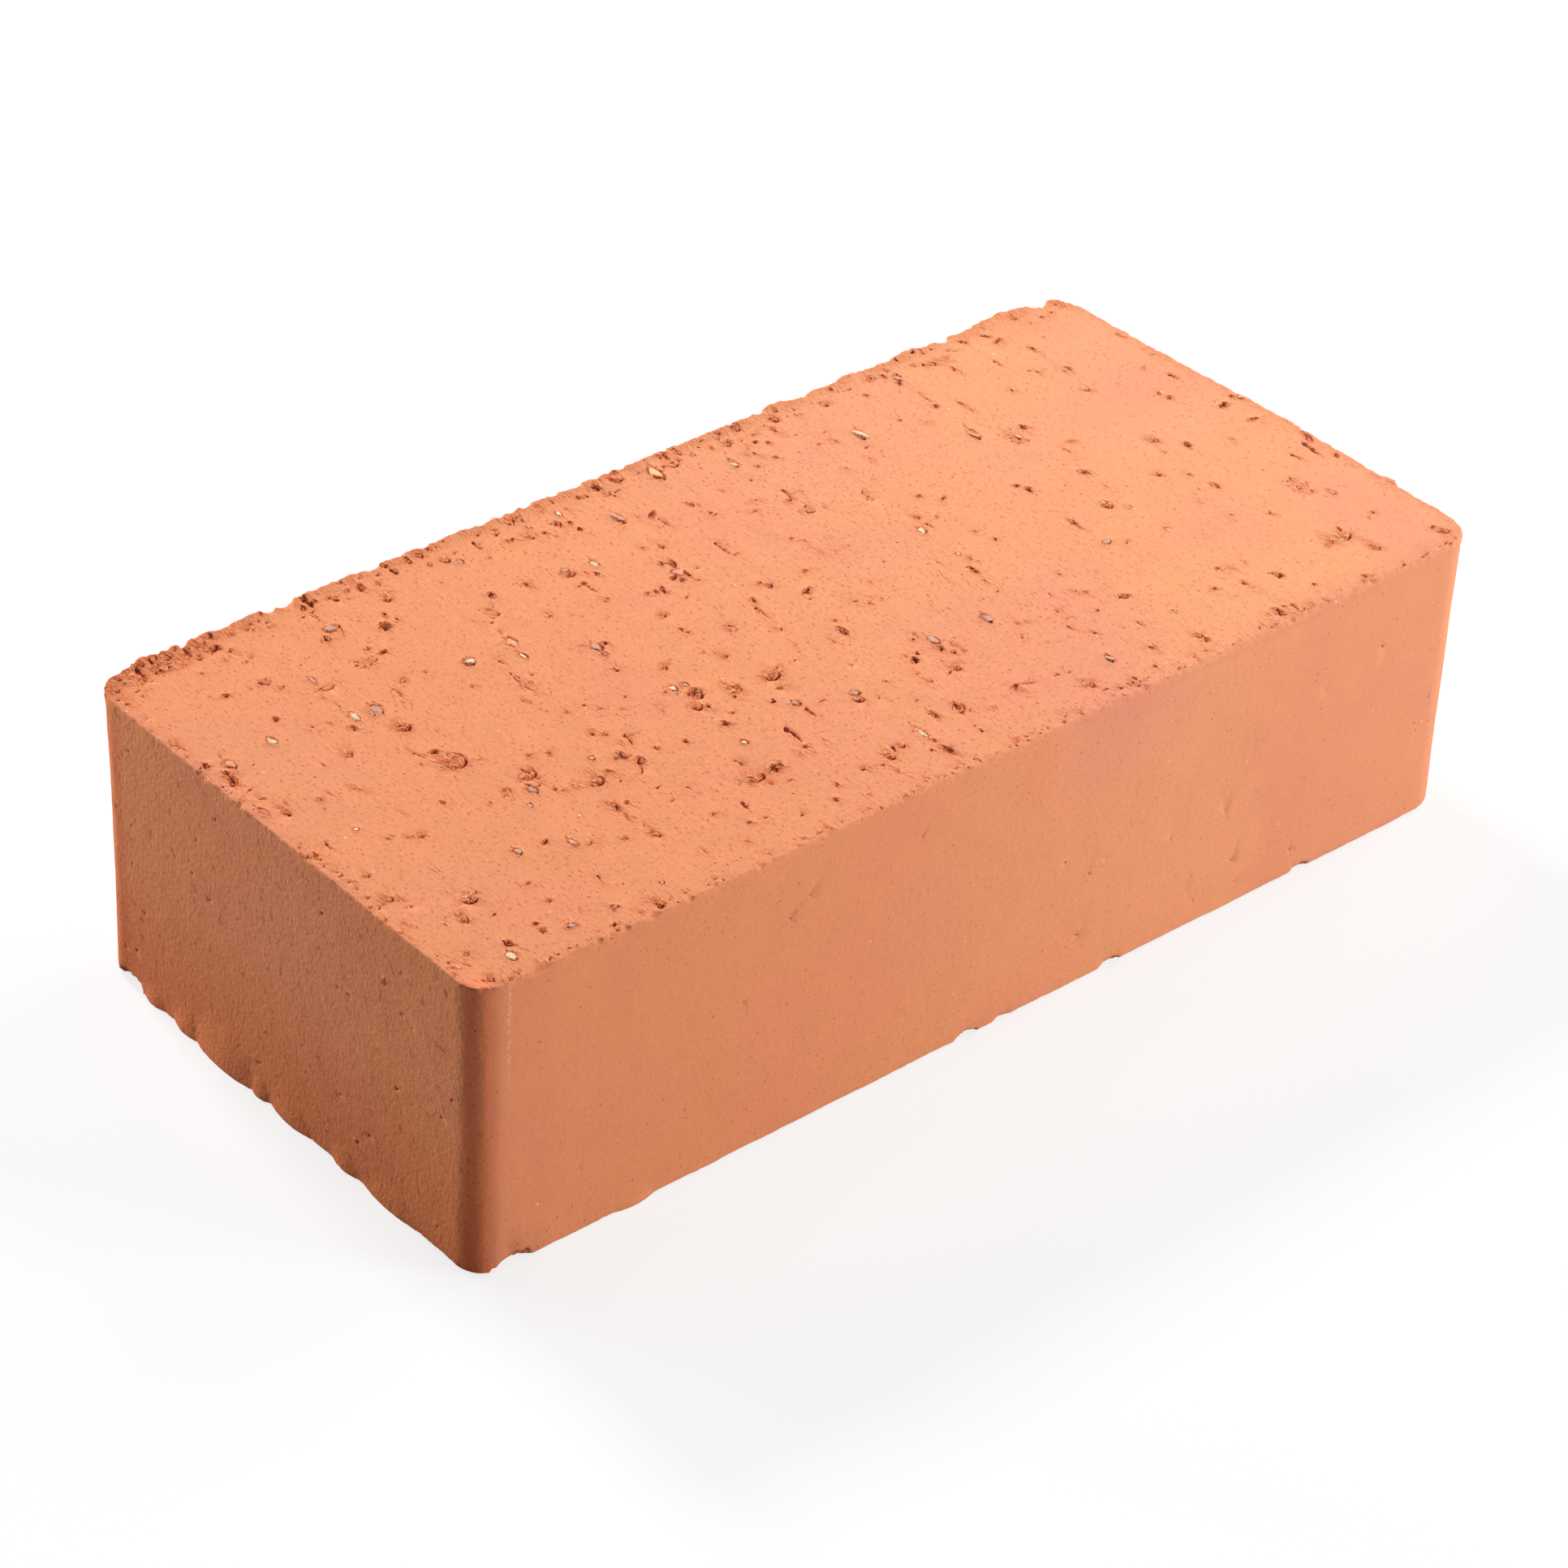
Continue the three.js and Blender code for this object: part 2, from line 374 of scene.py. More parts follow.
def stone(
    x: float, y: float, width: float, length: float, tint: Tint, turn: float = 0, tail: float = 0
) -> Wound:
    """A grain of grit in its seat."""
    return Wound(Mark.SEAT, x, y, width, length, turn, tint, tail)


CREAM, YELLOW, GREY, PINK, RED, SLATE = Tint
tear, slit, smile = (partial(Wound, kind) for kind in (Mark.TEAR, Mark.SLIT, Mark.SMILE))
crumbs, crack, scoop = (partial(Wound, kind) for kind in (Mark.CRUMBS, Mark.CRACK, Mark.SCOOP))

UPPER_WOUNDS = (
    # Left end, from the far stretcher towards the near one
    slit(-115.6, 56.0, 1.4, 3.4), crumbs(-118.0, 55.5, 6.0, 6.0),
    crumbs(-109.0, 56.0, 8.0, 6.5), crumbs(-101.0, 56.5, 5.0, 5.0),
    slit(-104.3, 57.5, 1.8, 4.0, -8), tear(-99.8, 55.2, 2.2, 1.6, 20),
    tear(-97.7, 53.0, 1.1, 1.1), stone(-78.2, 47.8, 3.2, 2.0, GREY, tail=6.5),
    tear(-80.8, 45.4, 1.3, 2.0), slit(-76.6, 57.4, 1.8, 4.4), tear(-65.3, 55.6, 1.4, 3.0, -10),
    slit(-57.0, 56.4, 0.9, 2.0), smile(-63.8, 49.9, 1.8, 1.8),
    stone(-44.4, 52.0, 1.2, 1.8, GREY), tear(-107.2, 41.0, 1.6, 1.2),
    stone(-98.8, 40.4, 2.4, 1.8, RED, 15), crack(-90.6, 32.4, 5.4, 0.9),
    stone(-91.2, 35.6, 1.0, 2.4, GREY), crumbs(-79.5, 34.0, 4.4, 5.0),
    tear(-75.0, 35.5, 1.8, 1.1, 10), tear(-76.6, 38.2, 1.0, 1.0),
    tear(-69.6, 42.2, 2.4, 2.6, 15), tear(-46.7, 38.8, 1.4, 2.0),
    crumbs(-50.4, 34.2, 3.0, 4.2), stone(-64.0, 23.2, 2.5, 2.7, CREAM, -20),
    stone(-53.8, 23.6, 2.4, 3.6, PINK, -8, tail=3.6), stone(-54.4, 18.6, 1.2, 2.4, CREAM),
    slit(-60.0, 11.6, 0.6, 9.0), stone(-91.9, 21.4, 1.5, 3.4, CREAM, tail=5.0),
    stone(-87.2, 21.0, 2.2, 3.6, SLATE, 8), tear(-94.2, 18.3, 1.2, 2.0, 15),
    smile(-86.8, 13.6, 2.8, 3.4, 10), stone(-108.7, 24.0, 2.0, 2.4, CREAM),
    tear(-122.9, 24.6, 1.2, 2.0), tear(-121.6, 18.4, 1.6, 5.2),
    stone(-119.3, 22.4, 2.0, 3.2, PINK), stone(-122.8, 6.6, 1.5, 2.8, RED),
    smile(-119.7, 3.9, 1.2, 2.0), crumbs(-77.6, 25.2, 2.4, 2.6), slit(-80.8, 22.6, 0.5, 4.4),
    tear(-104.0, 29.2, 1.2, 1.4), smile(-100.1, 12.2, 1.8, 1.6),
    stone(-41.6, 12.6, 2.0, 2.8, SLATE), tear(-39.7, 12.7, 1.3, 1.2, 40),
    stone(-41.8, 9.8, 1.0, 1.4, GREY), tear(-86.9, 3.3, 1.6, 1.2, -20),
    smile(-86.0, -1.0, 5.2, 5.0, 28),
    # Left end, near half
    slit(-119.5, -9.2, 0.8, 2.6), tear(-123.0, -9.8, 1.0, 1.0),
    stone(-80.0, -17.0, 2.2, 3.2, SLATE), smile(-77.8, -12.8, 3.4, 2.8, 15),
    stone(-65.0, -15.6, 1.1, 1.4, GREY, -20), tear(-60.0, -18.4, 1.5, 2.8, 10),
    slit(-56.0, -15.2, 0.9, 4.0, -12), tear(-58.3, -21.8, 1.9, 2.4),
    crack(-60.2, -23.8, 3.4, 0.5, 48), smile(-69.0, -21.9, 3.6, 2.6, 10),
    tear(-53.3, -20.2, 0.9, 1.1), tear(-47.7, -21.8, 1.1, 1.1, 30),
    tear(-71.1, -30.9, 1.2, 1.6), slit(-71.3, -34.6, 0.5, 2.6),
    tear(-68.5, -30.5, 0.8, 1.0, -20), stone(-93.6, -30.6, 1.4, 2.2, GREY),
    tear(-87.8, -31.2, 1.4, 1.0), stone(-84.0, -34.4, 1.2, 2.4, GREY),
    smile(-108.9, -36.6, 2.8, 2.6), smile(-113.4, -40.4, 1.4, 3.0),
    tear(-98.1, -45.4, 1.0, 0.9), tear(-97.8, -39.0, 1.2, 0.8),
    smile(-70.4, -40.8, 1.4, 2.4, 10), smile(-44.8, -38.4, 3.8, 2.4),
    tear(-40.2, -38.4, 1.0, 1.8), slit(-51.8, -44.2, 1.0, 2.8), tear(-58.2, -42.6, 0.8, 0.8),
    tear(-54.7, -48.6, 0.9, 0.8), tear(-111.4, -51.2, 1.4, 2.0, 10),
    stone(-113.0, -54.3, 2.1, 2.4, CREAM), tear(-104.2, -51.9, 1.1, 1.8, -15),
    tear(-104.1, -49.5, 0.9, 1.2), stone(-99.5, -53.6, 2.2, 1.3, SLATE, -15),
    tear(-93.4, -58.0, 0.9, 1.2), smile(-83.0, -57.6, 1.4, 2.8, -15),
    # Middle, far half
    slit(-38.2, 54.4, 0.8, 3.6), tear(-20.7, 51.4, 1.2, 3.0, 8), tear(-18.5, 50.4, 0.9, 1.4),
    tear(-18.3, 47.4, 1.0, 1.8), stone(-18.3, 54.5, 1.2, 2.0, CREAM),
    stone(-9.9, 46.0, 2.0, 4.2, GREY, -8), tear(-3.6, 43.0, 1.2, 2.6, -52),
    slit(-3.3, 39.4, 0.6, 4.0), stone(-1.4, 58.0, 3.2, 3.0, RED),
    tear(-6.4, 57.6, 2.0, 2.6, 20), stone(6.5, 54.4, 2.6, 5.6, YELLOW, -12),
    smile(11.6, 55.2, 1.4, 1.4), tear(12.0, 58.2, 1.4, 1.6),
    stone(-30.0, 37.4, 1.6, 1.6, GREY), smile(-30.0, 36.0, 2.6, 1.8),
    stone(-23.9, 36.0, 1.7, 2.2, CREAM, -12), tear(-30.0, 31.6, 1.0, 1.0),
    slit(-29.7, 29.0, 0.6, 3.0, 5), tear(-13.3, 28.2, 0.9, 1.8, -12),
    tear(-11.6, 26.7, 1.2, 3.2, -10), stone(-12.8, 23.6, 2.2, 2.6, PINK),
    tear(-14.7, 22.6, 1.4, 1.2), tear(-13.8, 21.0, 1.2, 1.2), tear(-11.6, 22.0, 0.9, 2.2, -10),
    slit(-0.1, 25.0, 0.8, 6.0), tear(-19.0, 20.4, 1.1, 3.0, -10), tear(-22.1, 21.4, 1.1, 0.9),
    stone(21.7, 48.2, 1.5, 3.0, CREAM, -8), smile(5.0, 41.8, 1.0, 1.6),
    slit(23.2, 32.8, 1.0, 4.2, -4), tear(22.1, 31.2, 1.2, 0.7),
    scoop(25.8, 24.7, 1.3, 4.0, -18), tear(-24.8, 7.8, 0.9, 1.2),
    tear(-7.3, 7.4, 1.2, 1.5, -20), slit(-8.7, 2.8, 0.8, 5.0), tear(3.2, 3.6, 2.6, 1.4, 25),
    tear(7.4, 9.4, 1.3, 0.8), stone(35.6, 6.6, 1.5, 2.4, CREAM), crumbs(-17.0, 2.8, 3.4, 4.4),
    crumbs(35.6, 23.2, 2.6, 4.0), crumbs(22.0, 26.0, 5.0, 3.0), tear(30.0, 45.2, 0.8, 1.2),
    tear(26.4, 55.6, 0.8, 1.2), tear(30.5, 52.0, 1.0, 1.0), tear(36.6, 53.8, 0.9, 2.4),
    # Middle, near half
    stone(-38.6, -6.8, 1.4, 2.4, CREAM), stone(-36.0, -7.2, 1.0, 1.8, CREAM),
    tear(-36.6, -10.6, 3.6, 2.6, 8), smile(-39.0, -14.0, 2.2, 2.6),
    smile(-29.6, -13.8, 2.4, 3.2, 20), smile(-21.2, -14.2, 3.8, 3.4),
    tear(-38.2, -22.0, 1.6, 2.2, 35), tear(-26.4, -21.4, 1.0, 1.4, -30),
    stone(-23.4, -24.6, 2.0, 1.8, SLATE), slit(-23.0, -28.6, 1.0, 3.4),
    slit(-30.5, -32.4, 1.5, 5.4, -4), tear(-30.9, -36.4, 1.5, 1.1, -20),
    stone(-12.2, -28.6, 2.0, 1.8, SLATE), smile(-12.9, -30.6, 2.2, 1.6),
    tear(-0.3, -11.2, 1.3, 3.0), tear(4.2, -26.9, 1.4, 1.8, -30),
    tear(6.1, -25.4, 0.9, 1.0, -30), stone(11.6, -24.0, 1.7, 3.2, SLATE),
    tear(10.7, -27.0, 1.2, 1.8, -20), tear(12.1, -29.4, 0.9, 1.0),
    stone(24.8, -24.4, 2.0, 3.2, SLATE, -10), tear(34.2, -10.2, 1.1, 2.8),
    tear(-39.6, -38.6, 2.8, 2.0, 20), stone(-39.1, -28.4, 1.0, 1.8, CREAM),
    stone(-10.8, -45.8, 1.4, 3.6, CREAM, -6, tail=3.5), tear(-10.5, -49.2, 0.9, 1.1),
    tear(-10.6, -53.2, 1.2, 3.8, 8), slit(-18.4, -47.2, 1.0, 2.2, -10),
    smile(-20.6, -47.8, 1.8, 2.6), tear(-4.9, -43.0, 0.9, 2.8), tear(0.1, -44.0, 1.4, 3.6, -8),
    tear(-37.5, -52.6, 1.1, 1.1, 20), tear(-34.2, -49.2, 0.9, 1.2),
    tear(13.6, -45.0, 1.6, 0.9), crack(16.4, -45.6, 3.0, 0.5, -25),
    smile(25.3, -52.6, 1.8, 3.0, 12), stone(34.4, -48.8, 1.4, 2.8, GREY, -25),
    crumbs(32.6, -57.2, 3.4, 3.0), tear(39.7, -55.8, 0.9, 0.8),
    # Right end
    stone(49.5, 41.8, 2.0, 4.4, CREAM, -18), stone(70.6, 54.0, 1.6, 3.0, GREY, -20),
    tear(69.6, 52.4, 0.9, 1.6, -20), stone(68.4, 27.8, 2.0, 4.0, YELLOW, -14, tail=3.0),
    crumbs(74.6, 22.0, 4.6, 7.0), stone(75.2, 21.8, 0.9, 2.0, CREAM, -15),
    tear(78.8, 24.0, 1.4, 2.2, 25), tear(69.7, 41.0, 1.3, 1.4, -10),
    slit(70.2, 44.8, 0.5, 5.6, -4), tear(74.8, 38.7, 0.7, 1.8), tear(83.2, 49.9, 0.8, 1.7),
    slit(92.7, 46.0, 0.9, 2.8, -5), tear(103.1, 46.2, 1.0, 2.4),
    tear(99.2, 53.2, 2.2, 1.0, 12), tear(62.0, 8.0, 1.3, 1.1), tear(63.0, 5.4, 1.1, 2.2, -10),
    tear(76.6, 3.6, 1.4, 2.6, 25), smile(96.7, 4.8, 1.8, 2.8, 12),
    stone(123.4, 6.2, 1.4, 1.6, YELLOW), tear(118.4, 5.8, 2.4, 1.6),
    tear(122.4, 7.4, 0.8, 1.6), stone(111.3, 17.2, 0.6, 1.2, CREAM, -20),
    tear(111.8, 15.1, 1.5, 1.4), slit(119.0, 20.2, 1.1, 2.6), crack(82.4, 13.8, 3.8, 0.6, -18),
    slit(79.6, 11.8, 0.5, 2.2), tear(43.6, 16.8, 1.2, 0.8), tear(47.0, 13.2, 1.2, 0.8, 20),
    tear(87.5, 36.1, 0.7, 1.2), tear(103.8, 36.0, 0.8, 1.8, 15), tear(97.3, 38.6, 0.8, 0.8),
    smile(71.8, -8.2, 2.0, 2.4), stone(71.8, -7.4, 1.5, 1.5, YELLOW),
    tear(94.7, -15.9, 0.9, 2.4), stone(62.3, -18.2, 1.8, 1.4, GREY),
    tear(61.9, -9.2, 0.7, 3.4), tear(51.6, -34.4, 2.4, 1.2, -38), tear(73.5, -38.2, 0.9, 0.8),
    tear(74.0, -45.2, 0.8, 1.9), tear(67.8, -43.0, 1.1, 0.9), crumbs(81.5, -47.2, 2.8, 3.4),
    tear(81.4, -47.4, 1.5, 1.3), tear(72.1, -56.8, 1.6, 2.8), slit(76.0, -57.4, 0.8, 2.2),
    tear(54.0, -55.2, 1.0, 1.4), tear(84.5, -53.7, 0.8, 0.8), smile(97.8, -44.6, 2.2, 1.8, 15),
    smile(102.0, -45.2, 3.0, 1.8, 20), smile(104.0, -51.2, 1.8, 2.6, 10),
    tear(101.0, -1.0, 1.5, 2.2, -15), tear(119.2, -1.8, 2.0, 1.1, -18),
    slit(115.6, -18.0, 0.8, 3.0, 8), slit(120.3, -17.6, 1.4, 5.4, -4),
    tear(123.0, -13.4, 1.2, 3.8, -20), tear(122.5, -22.4, 0.8, 1.4, -30),
    smile(119.3, -55.0, 2.0, 2.6, 15), tear(118.7, -53.0, 1.0, 0.9),
    crumbs(108.0, -26.0, 5.0, 8.0), stone(111.9, -31.6, 1.1, 2.2, GREY),
    tear(94.8, -57.8, 0.8, 1.2),
)
FRONT_MARKS = (
    smile(21.0, 12.5, 0.9, 1.5), tear(-45.5, 14.0, 0.4, 0.6), tear(-24.5, 14.5, 0.4, 0.6),
    tear(-22.0, 54.0, 0.4, 0.7), crack(-64.0, 35.0, 0.8, 0.3), tear(-55.5, 42.0, 0.4, 0.5),
)
LEFT_MARKS = (
    tear(-19.0, 57.0, 0.9, 0.6, 20), tear(-26.0, 48.5, 0.6, 0.9), smile(14.0, 56.0, 1.1, 0.8),
    smile(33.0, 52.0, 0.9, 1.4, -20), smile(18.0, 41.5, 1.3, 1.0), tear(-5.0, 16.5, 0.7, 0.9),
    crack(-7.5, 8.0, 2.0, 0.5, 20), smile(23.5, 9.5, 1.2, 0.9), tear(52.5, 37.5, 0.6, 1.0),
    smile(-48.0, 39.5, 1.1, 1.1),
)


@dataclass
class Scatter:
    """How many small marks are strewn over a face by chance, between the ones that are listed.

    Attributes:
        seed: starts the run of random numbers.
        tears: small ragged holes.
        nicks: short grooves along the travel.
        flaps: small lifted flakes.
        stones: small grains in their seats.
        cracks: thin cracks across the travel.
        large: ragged holes of the largest size.
        scale: what their sizes are multiplied by.
    """

    seed: int
    tears: int = 0
    nicks: int = 0
    flaps: int = 0
    stones: int = 0
    cracks: int = 0
    large: int = 0
    scale: float = 1.0

    def wounds(self, half_length: float, half_width: float, margin: float = 2.0) -> list[Wound]:
        """The strewn marks.

        Args:
            half_length: half the face's size along its first axis, in mm.
            half_width: half the face's size along its second axis.
            margin: strip along its edges that stays clear.

        Returns:
            One wound for each mark, round the middle of the face.
        """
        rng = np.random.default_rng(self.seed)
        plan = (
            (Mark.TEAR, self.tears, (0.4, 1.1), (0.8, 1.9)),
            (Mark.SLIT, self.nicks, (0.35, 0.7), (2.5, 6.0)),
            (Mark.SMILE, self.flaps, (0.8, 2.0), (0.8, 1.4)),
            (Mark.SEAT, self.stones, (0.5, 1.2), (1.0, 1.8)),
            (Mark.CRACK, self.cracks, (0.9, 2.4), (0.3, 0.4)),
            (Mark.TEAR, self.large, (1.2, 2.6), (0.8, 1.8)),
        )
        found = []
        for kind, count, (small, big), (short, long) in plan:
            place = rng.uniform(-1, 1, (count, 2)) * (half_length - margin, half_width - margin)
            width = self.scale * (small + (big - small) * rng.random(count) ** 2)
            stretch = rng.uniform(short, long, count)
            turn = rng.normal(0, 16, count)
            tint = rng.integers(0, len(Tint), count)
            for (x, y), w, s, t, c in zip(place, width, stretch, turn, tint):
                grain = Tint(int(c)) if kind is Mark.SEAT else None
                size = (float(w), float(w * s))
                found.append(Wound(kind, float(x), float(y), *size, float(t), grain))
        return found


BENDS = ((2.3, 0.22, 0), (0.7, 0.17, 2))  # period, amount and step of the seed


@dataclass
class Panel:
    """One flat side of the piece with its marks.

    Attributes:
        outward: its normal.
        first: direction of its first axis.
        second: direction of its second axis; the clay travelled against it.
        marks: its marks, along these axes.
        seed: chooses the pattern of the noises.
    """

    outward: Triple
    first: Triple
    second: Triple
    marks: list[Wound]
    seed: int

    def nearby(self, places: Array) -> Iterator[tuple[Wound, list[Stroke], Array, Array, Array]]:
        """Each mark with the places that it may reach.

        Args:
            places: N x 3 places on the panel, in mm.

        Yields:
            The mark, its cuts, the numbers of the places, and their distances from its middle
            across and along the travel, bent by two noises.
        """
        plan = places @ np.array([self.first, self.second]).T
        for period, amount, step in BENDS:
            bends = [grain_noise(places, period, self.seed + step + k) for k in (0, 1)]
            plan = plan + amount * np.stack(bends, 1)
        order = np.argsort(plan[:, 0], kind="stable")
        sorted_x = plan[order, 0]
        for number, mark in enumerate(self.marks):
            first, last = np.searchsorted(sorted_x, (mark.x - mark.reach, mark.x + mark.reach))
            near = order[first:last]
            near = near[np.abs(plan[near, 1] - mark.y) < mark.reach]
            if len(near):
                away = plan[near] - (mark.x, mark.y)
                turn = math.radians(mark.turn)
                across = away[:, 0] * math.cos(turn) + away[:, 1] * math.sin(turn)
                ahead = away[:, 0] * math.sin(turn) - away[:, 1] * math.cos(turn)
                cuts = mark.strokes(np.random.default_rng([self.seed, number]))
                yield mark, cuts, near, across, ahead

    def busy(self, places: Array, margin: float) -> Array:
        """Which places are near a cut.

        Args:
            places: N x 3 places on the panel, in mm.
            margin: how near, in mm.

        Returns:
            N answers.
        """
        close = np.zeros(len(places), bool)
        for _, cuts, near, across, ahead in self.nearby(places):
            for cut in cuts:
                close[near] |= cut.gap(across, ahead) < margin
        return close

    def carve(self, places: Array) -> tuple[Array, Array, Array]:
        """What the marks do to the panel.

        Args:
            places: N x 3 places on it, in mm.

        Returns:
            N heights in mm, and two rows of N shares from 0 to 1: how far each place is cut
            open, and how sore the clay round it is.
        """
        rough = grain_noise(places, 0.6, self.seed + 5)
        height, torn, sore = np.zeros((3, len(places)))
        for mark, cuts, near, across, ahead in self.nearby(places):
            lift, hurt = mark.swelling(across, ahead, rough[near])
            depth = np.zeros(len(near))
            opened = np.zeros(len(near))
            for cut in cuts:
                share = smooth(-cut.gap(across, ahead), -0.07, 0.12)
                depth = np.maximum(depth, cut.depth * share)
                opened = np.maximum(opened, share)
            height[near] += lift - depth * (1.0 + 0.3 * rough[near])
            torn[near] = np.maximum(torn[near], opened)
            sore[near] = np.maximum(sore[near], hurt)
        return np.maximum(height, -DEEPEST_PLACE), torn, sore


# --- The fired piece ---


@dataclass(frozen=True)
class Bite:
    """A chip out of an arris, or a lump on it where the depth is negative, in mm.

    Attributes:
        x, y, z: middle of the chip.
        reach: how far it goes along the arris from its middle.
        fall: how far it goes into the bed and the face.
        depth: clay lost at the middle.
        ease: how gently it starts: below 1 for a chip, 2 for a rubbed place.
    """

    x: float
    y: float
    z: float
    reach: float
    fall: float
    depth: float
    ease: float = 0.8


UPPER, LOWER = 65.0, 0.0  # levels of the beds
FAR, NEAR, LEFT = 60.0, -60.0, -125.0  # the far and near stretchers and the left header


def bites(rows: Rows, z: float, y: float | None = None) -> tuple[Bite, ...]:
    """Chips along one arris.

    Args:
        rows: for each, its place along the arris, then its reach, fall, depth and ease.
        z: level of the bed.
        y: place of the stretcher, or None for the left header.

    Returns:
        The chips.
    """
    if y is None:
        return tuple(Bite(LEFT, row[0], z, *row[1:]) for row in rows)
    return tuple(Bite(row[0], y, z, *row[1:]) for row in rows)


FAR_UPPER_BITES = (
    (-109.5, 1.2, 1.2, 0.7), (-103.8, 1.4, 1.8, 0.9), (-95.0, 2.4, 1.2, 0.5),
    (-84.2, 1.8, 3.0, 2.9), (-80.5, 2.6, 2.4, 1.0), (-68.0, 1.0, 1.0, 0.5),
    (-59.6, 1.9, 1.6, 0.8), (-47.0, 1.4, 1.2, 0.5), (-33.0, 1.6, 1.4, 0.7),
    (-28.6, 1.2, 1.2, 0.6), (-22.0, 1.5, 1.2, 0.6), (-15.0, 1.2, 1.2, 0.5),
    (-9.2, 1.2, 1.6, 0.8), (-4.2, 1.0, 1.4, 0.8), (1.8, 1.4, 1.2, 0.6), (13.0, 1.2, 1.0, 0.4),
    (38.0, 1.4, 1.2, 0.5), (42.0, 3.0, 3.0, -0.7, 1.2), (49.5, 1.8, 1.2, 0.6),
    (62.0, 3.4, 3.0, -0.6, 1.2), (79.0, 4.0, 3.0, -0.6, 1.2), (88.8, 2.4, 1.8, 1.3),
    (105.0, 8.0, 3.0, -0.7, 1.4),
)
RIGHT_UPPER_BITES = (  # the header leans, so each has its own X too
    Bite(122.0, 54.6, UPPER, 2.0, 1.8, 0.8),
    Bite(121.6, 47.4, UPPER, 2.6, 2.2, 1.8),
    Bite(121.8, 39.4, UPPER, 1.3, 2.0, 1.7),
    Bite(122.2, 33.8, UPPER, 1.4, 1.4, 0.7),
    Bite(122.8, 25.4, UPPER, 1.6, 1.4, 0.6),
    Bite(124.0, 8.6, UPPER, 1.4, 1.2, 0.5),
    Bite(124.6, -11.0, UPPER, 1.6, 1.2, 0.5),
    Bite(125.0, -35.5, UPPER, 2.4, 1.8, -0.6),
)
LEFT_UPPER_BITES = ((22.8, 2.0, 1.0, 0.3), (11.0, 1.2, 0.9, 0.25), (-9.0, 1.2, 0.8, 0.25))
NEAR_UPPER_BITES = (
    (-110.6, 2.7, 1.0, 0.35), (-98.2, 1.0, 0.8, 0.35), (-92.0, 1.0, 0.8, 0.35),
    (-85.6, 1.5, 1.0, 0.4), (-77.4, 0.8, 0.8, 0.3), (-61.2, 1.0, 0.8, 0.3),
    (-27.0, 1.0, 0.7, 0.25), (33.0, 1.4, 1.0, 0.35), (72.4, 1.3, 0.8, 0.3),
    (94.8, 1.0, 0.8, 0.25),
)
NEAR_LOWER_BITES = (
    (-116.6, 4.6, 3.0, 1.5, 1.0), (-88.5, 5.0, 2.6, -0.7, 1.2), (-7.0, 3.4, 1.8, 1.5, 1.2),
    (2.0, 2.4, 1.4, 0.6, 1.2), (30.6, 3.2, 1.8, 1.2, 1.2), (83.4, 2.6, 1.6, 1.2, 1.2),
)
LEFT_LOWER_BITES = (
    (50.5, 4.6, 3.0, 1.7, 1.0), (42.0, 3.4, 5.0, -0.65, 1.4), (31.0, 4.8, 7.0, -0.95, 1.4),
    (7.0, 3.4, 6.0, -0.8, 1.4), (-34.0, 9.0, 5.0, -0.8, 1.4), (18.5, 10.5, 10.0, -1.7, 1.2),
    (-3.0, 7.0, 6.0, -0.9, 1.4), (-20.0, 4.4, 6.0, -0.7, 1.4),
)
BITES = (
    Bite(-119.0, 58.6, UPPER, 5.5, 3.0, 0.7),
    *bites(FAR_UPPER_BITES, UPPER, FAR),
    Bite(117.4, 59.4, UPPER, 2.6, 2.6, 2.2),
    *RIGHT_UPPER_BITES,
    *bites(LEFT_UPPER_BITES, UPPER),
    *bites(NEAR_UPPER_BITES, UPPER, NEAR),
    *bites(NEAR_LOWER_BITES, LOWER, NEAR),
    *bites(LEFT_LOWER_BITES, LOWER),
)


class Cast(Enum):
    """Slow changes of the colour, as what they multiply red, green and blue by.

    Most are fired colours; the rest are painted shade, wholly or in part, and one painted light.
    """

    BLUSH = (0.985, 0.935, 1.055)
    STRAW = (1.0, 1.03, 0.93)
    ASH = (0.985, 1.01, 1.15)
    FLAME = (0.975, 0.88, 0.84)
    # Painted shade: the headers darker towards their foot.
    FOOT_SHADE = (0.9, 0.78, 0.67)
    # Darker clay of the crumbly arrises, partly painted shade of their crumbs; wholly painted shade
    # at the far left corner.
    RAW = (0.76, 0.58, 0.46)
    # Painted shade: darker patches on the faces and by the near left corner.
    SOFT_SHADE = (0.92, 0.87, 0.93)
    # Painted light: lighter and redder, down the near left upright corner.
    PAINTED_LIGHT = (1.27, 1.02, 1.0)
    # Painted shade: the far stretcher and the far left corner drawn darker.
    SHADE = (0.7, 0.74, 0.78)


@dataclass(frozen=True)
class Patch:
    """A soft-edged patch where the piece touched another in the kiln, or the flame reached it;
    some are painted shade, and one is painted light.

    Attributes:
        cast: how its colour differs.
        middle: its middle, in mm.
        half: half its size along each axis, in mm.
        strength: 1 for the full change.
    """

    cast: Cast
    middle: Triple
    half: Triple
    strength: float

    def share(self, places: Array, edge: Array) -> Array:
        """How much of the change each place has.

        With d the fourth root of the sum of the fourth powers of the distances in half sizes, it
        eases from 1 inside to 0 outside d = 1.

        Args:
            places: N x 3 places in mm.
            edge: N values that move the edge in or out.

        Returns:
            N shares.
        """
        away = (np.abs(places - self.middle) / self.half) ** 4
        return self.strength * smooth(away.sum(1) ** 0.25 + edge, 1.25, 0.65)


def bed_patch(cast: Cast, x: float, y: float, long: float, wide: float, strength: float) -> Patch:
    """A patch of the upper bed, with half its size along X and Y."""
    return Patch(cast, (x, y, UPPER), (long, wide, 6), strength)


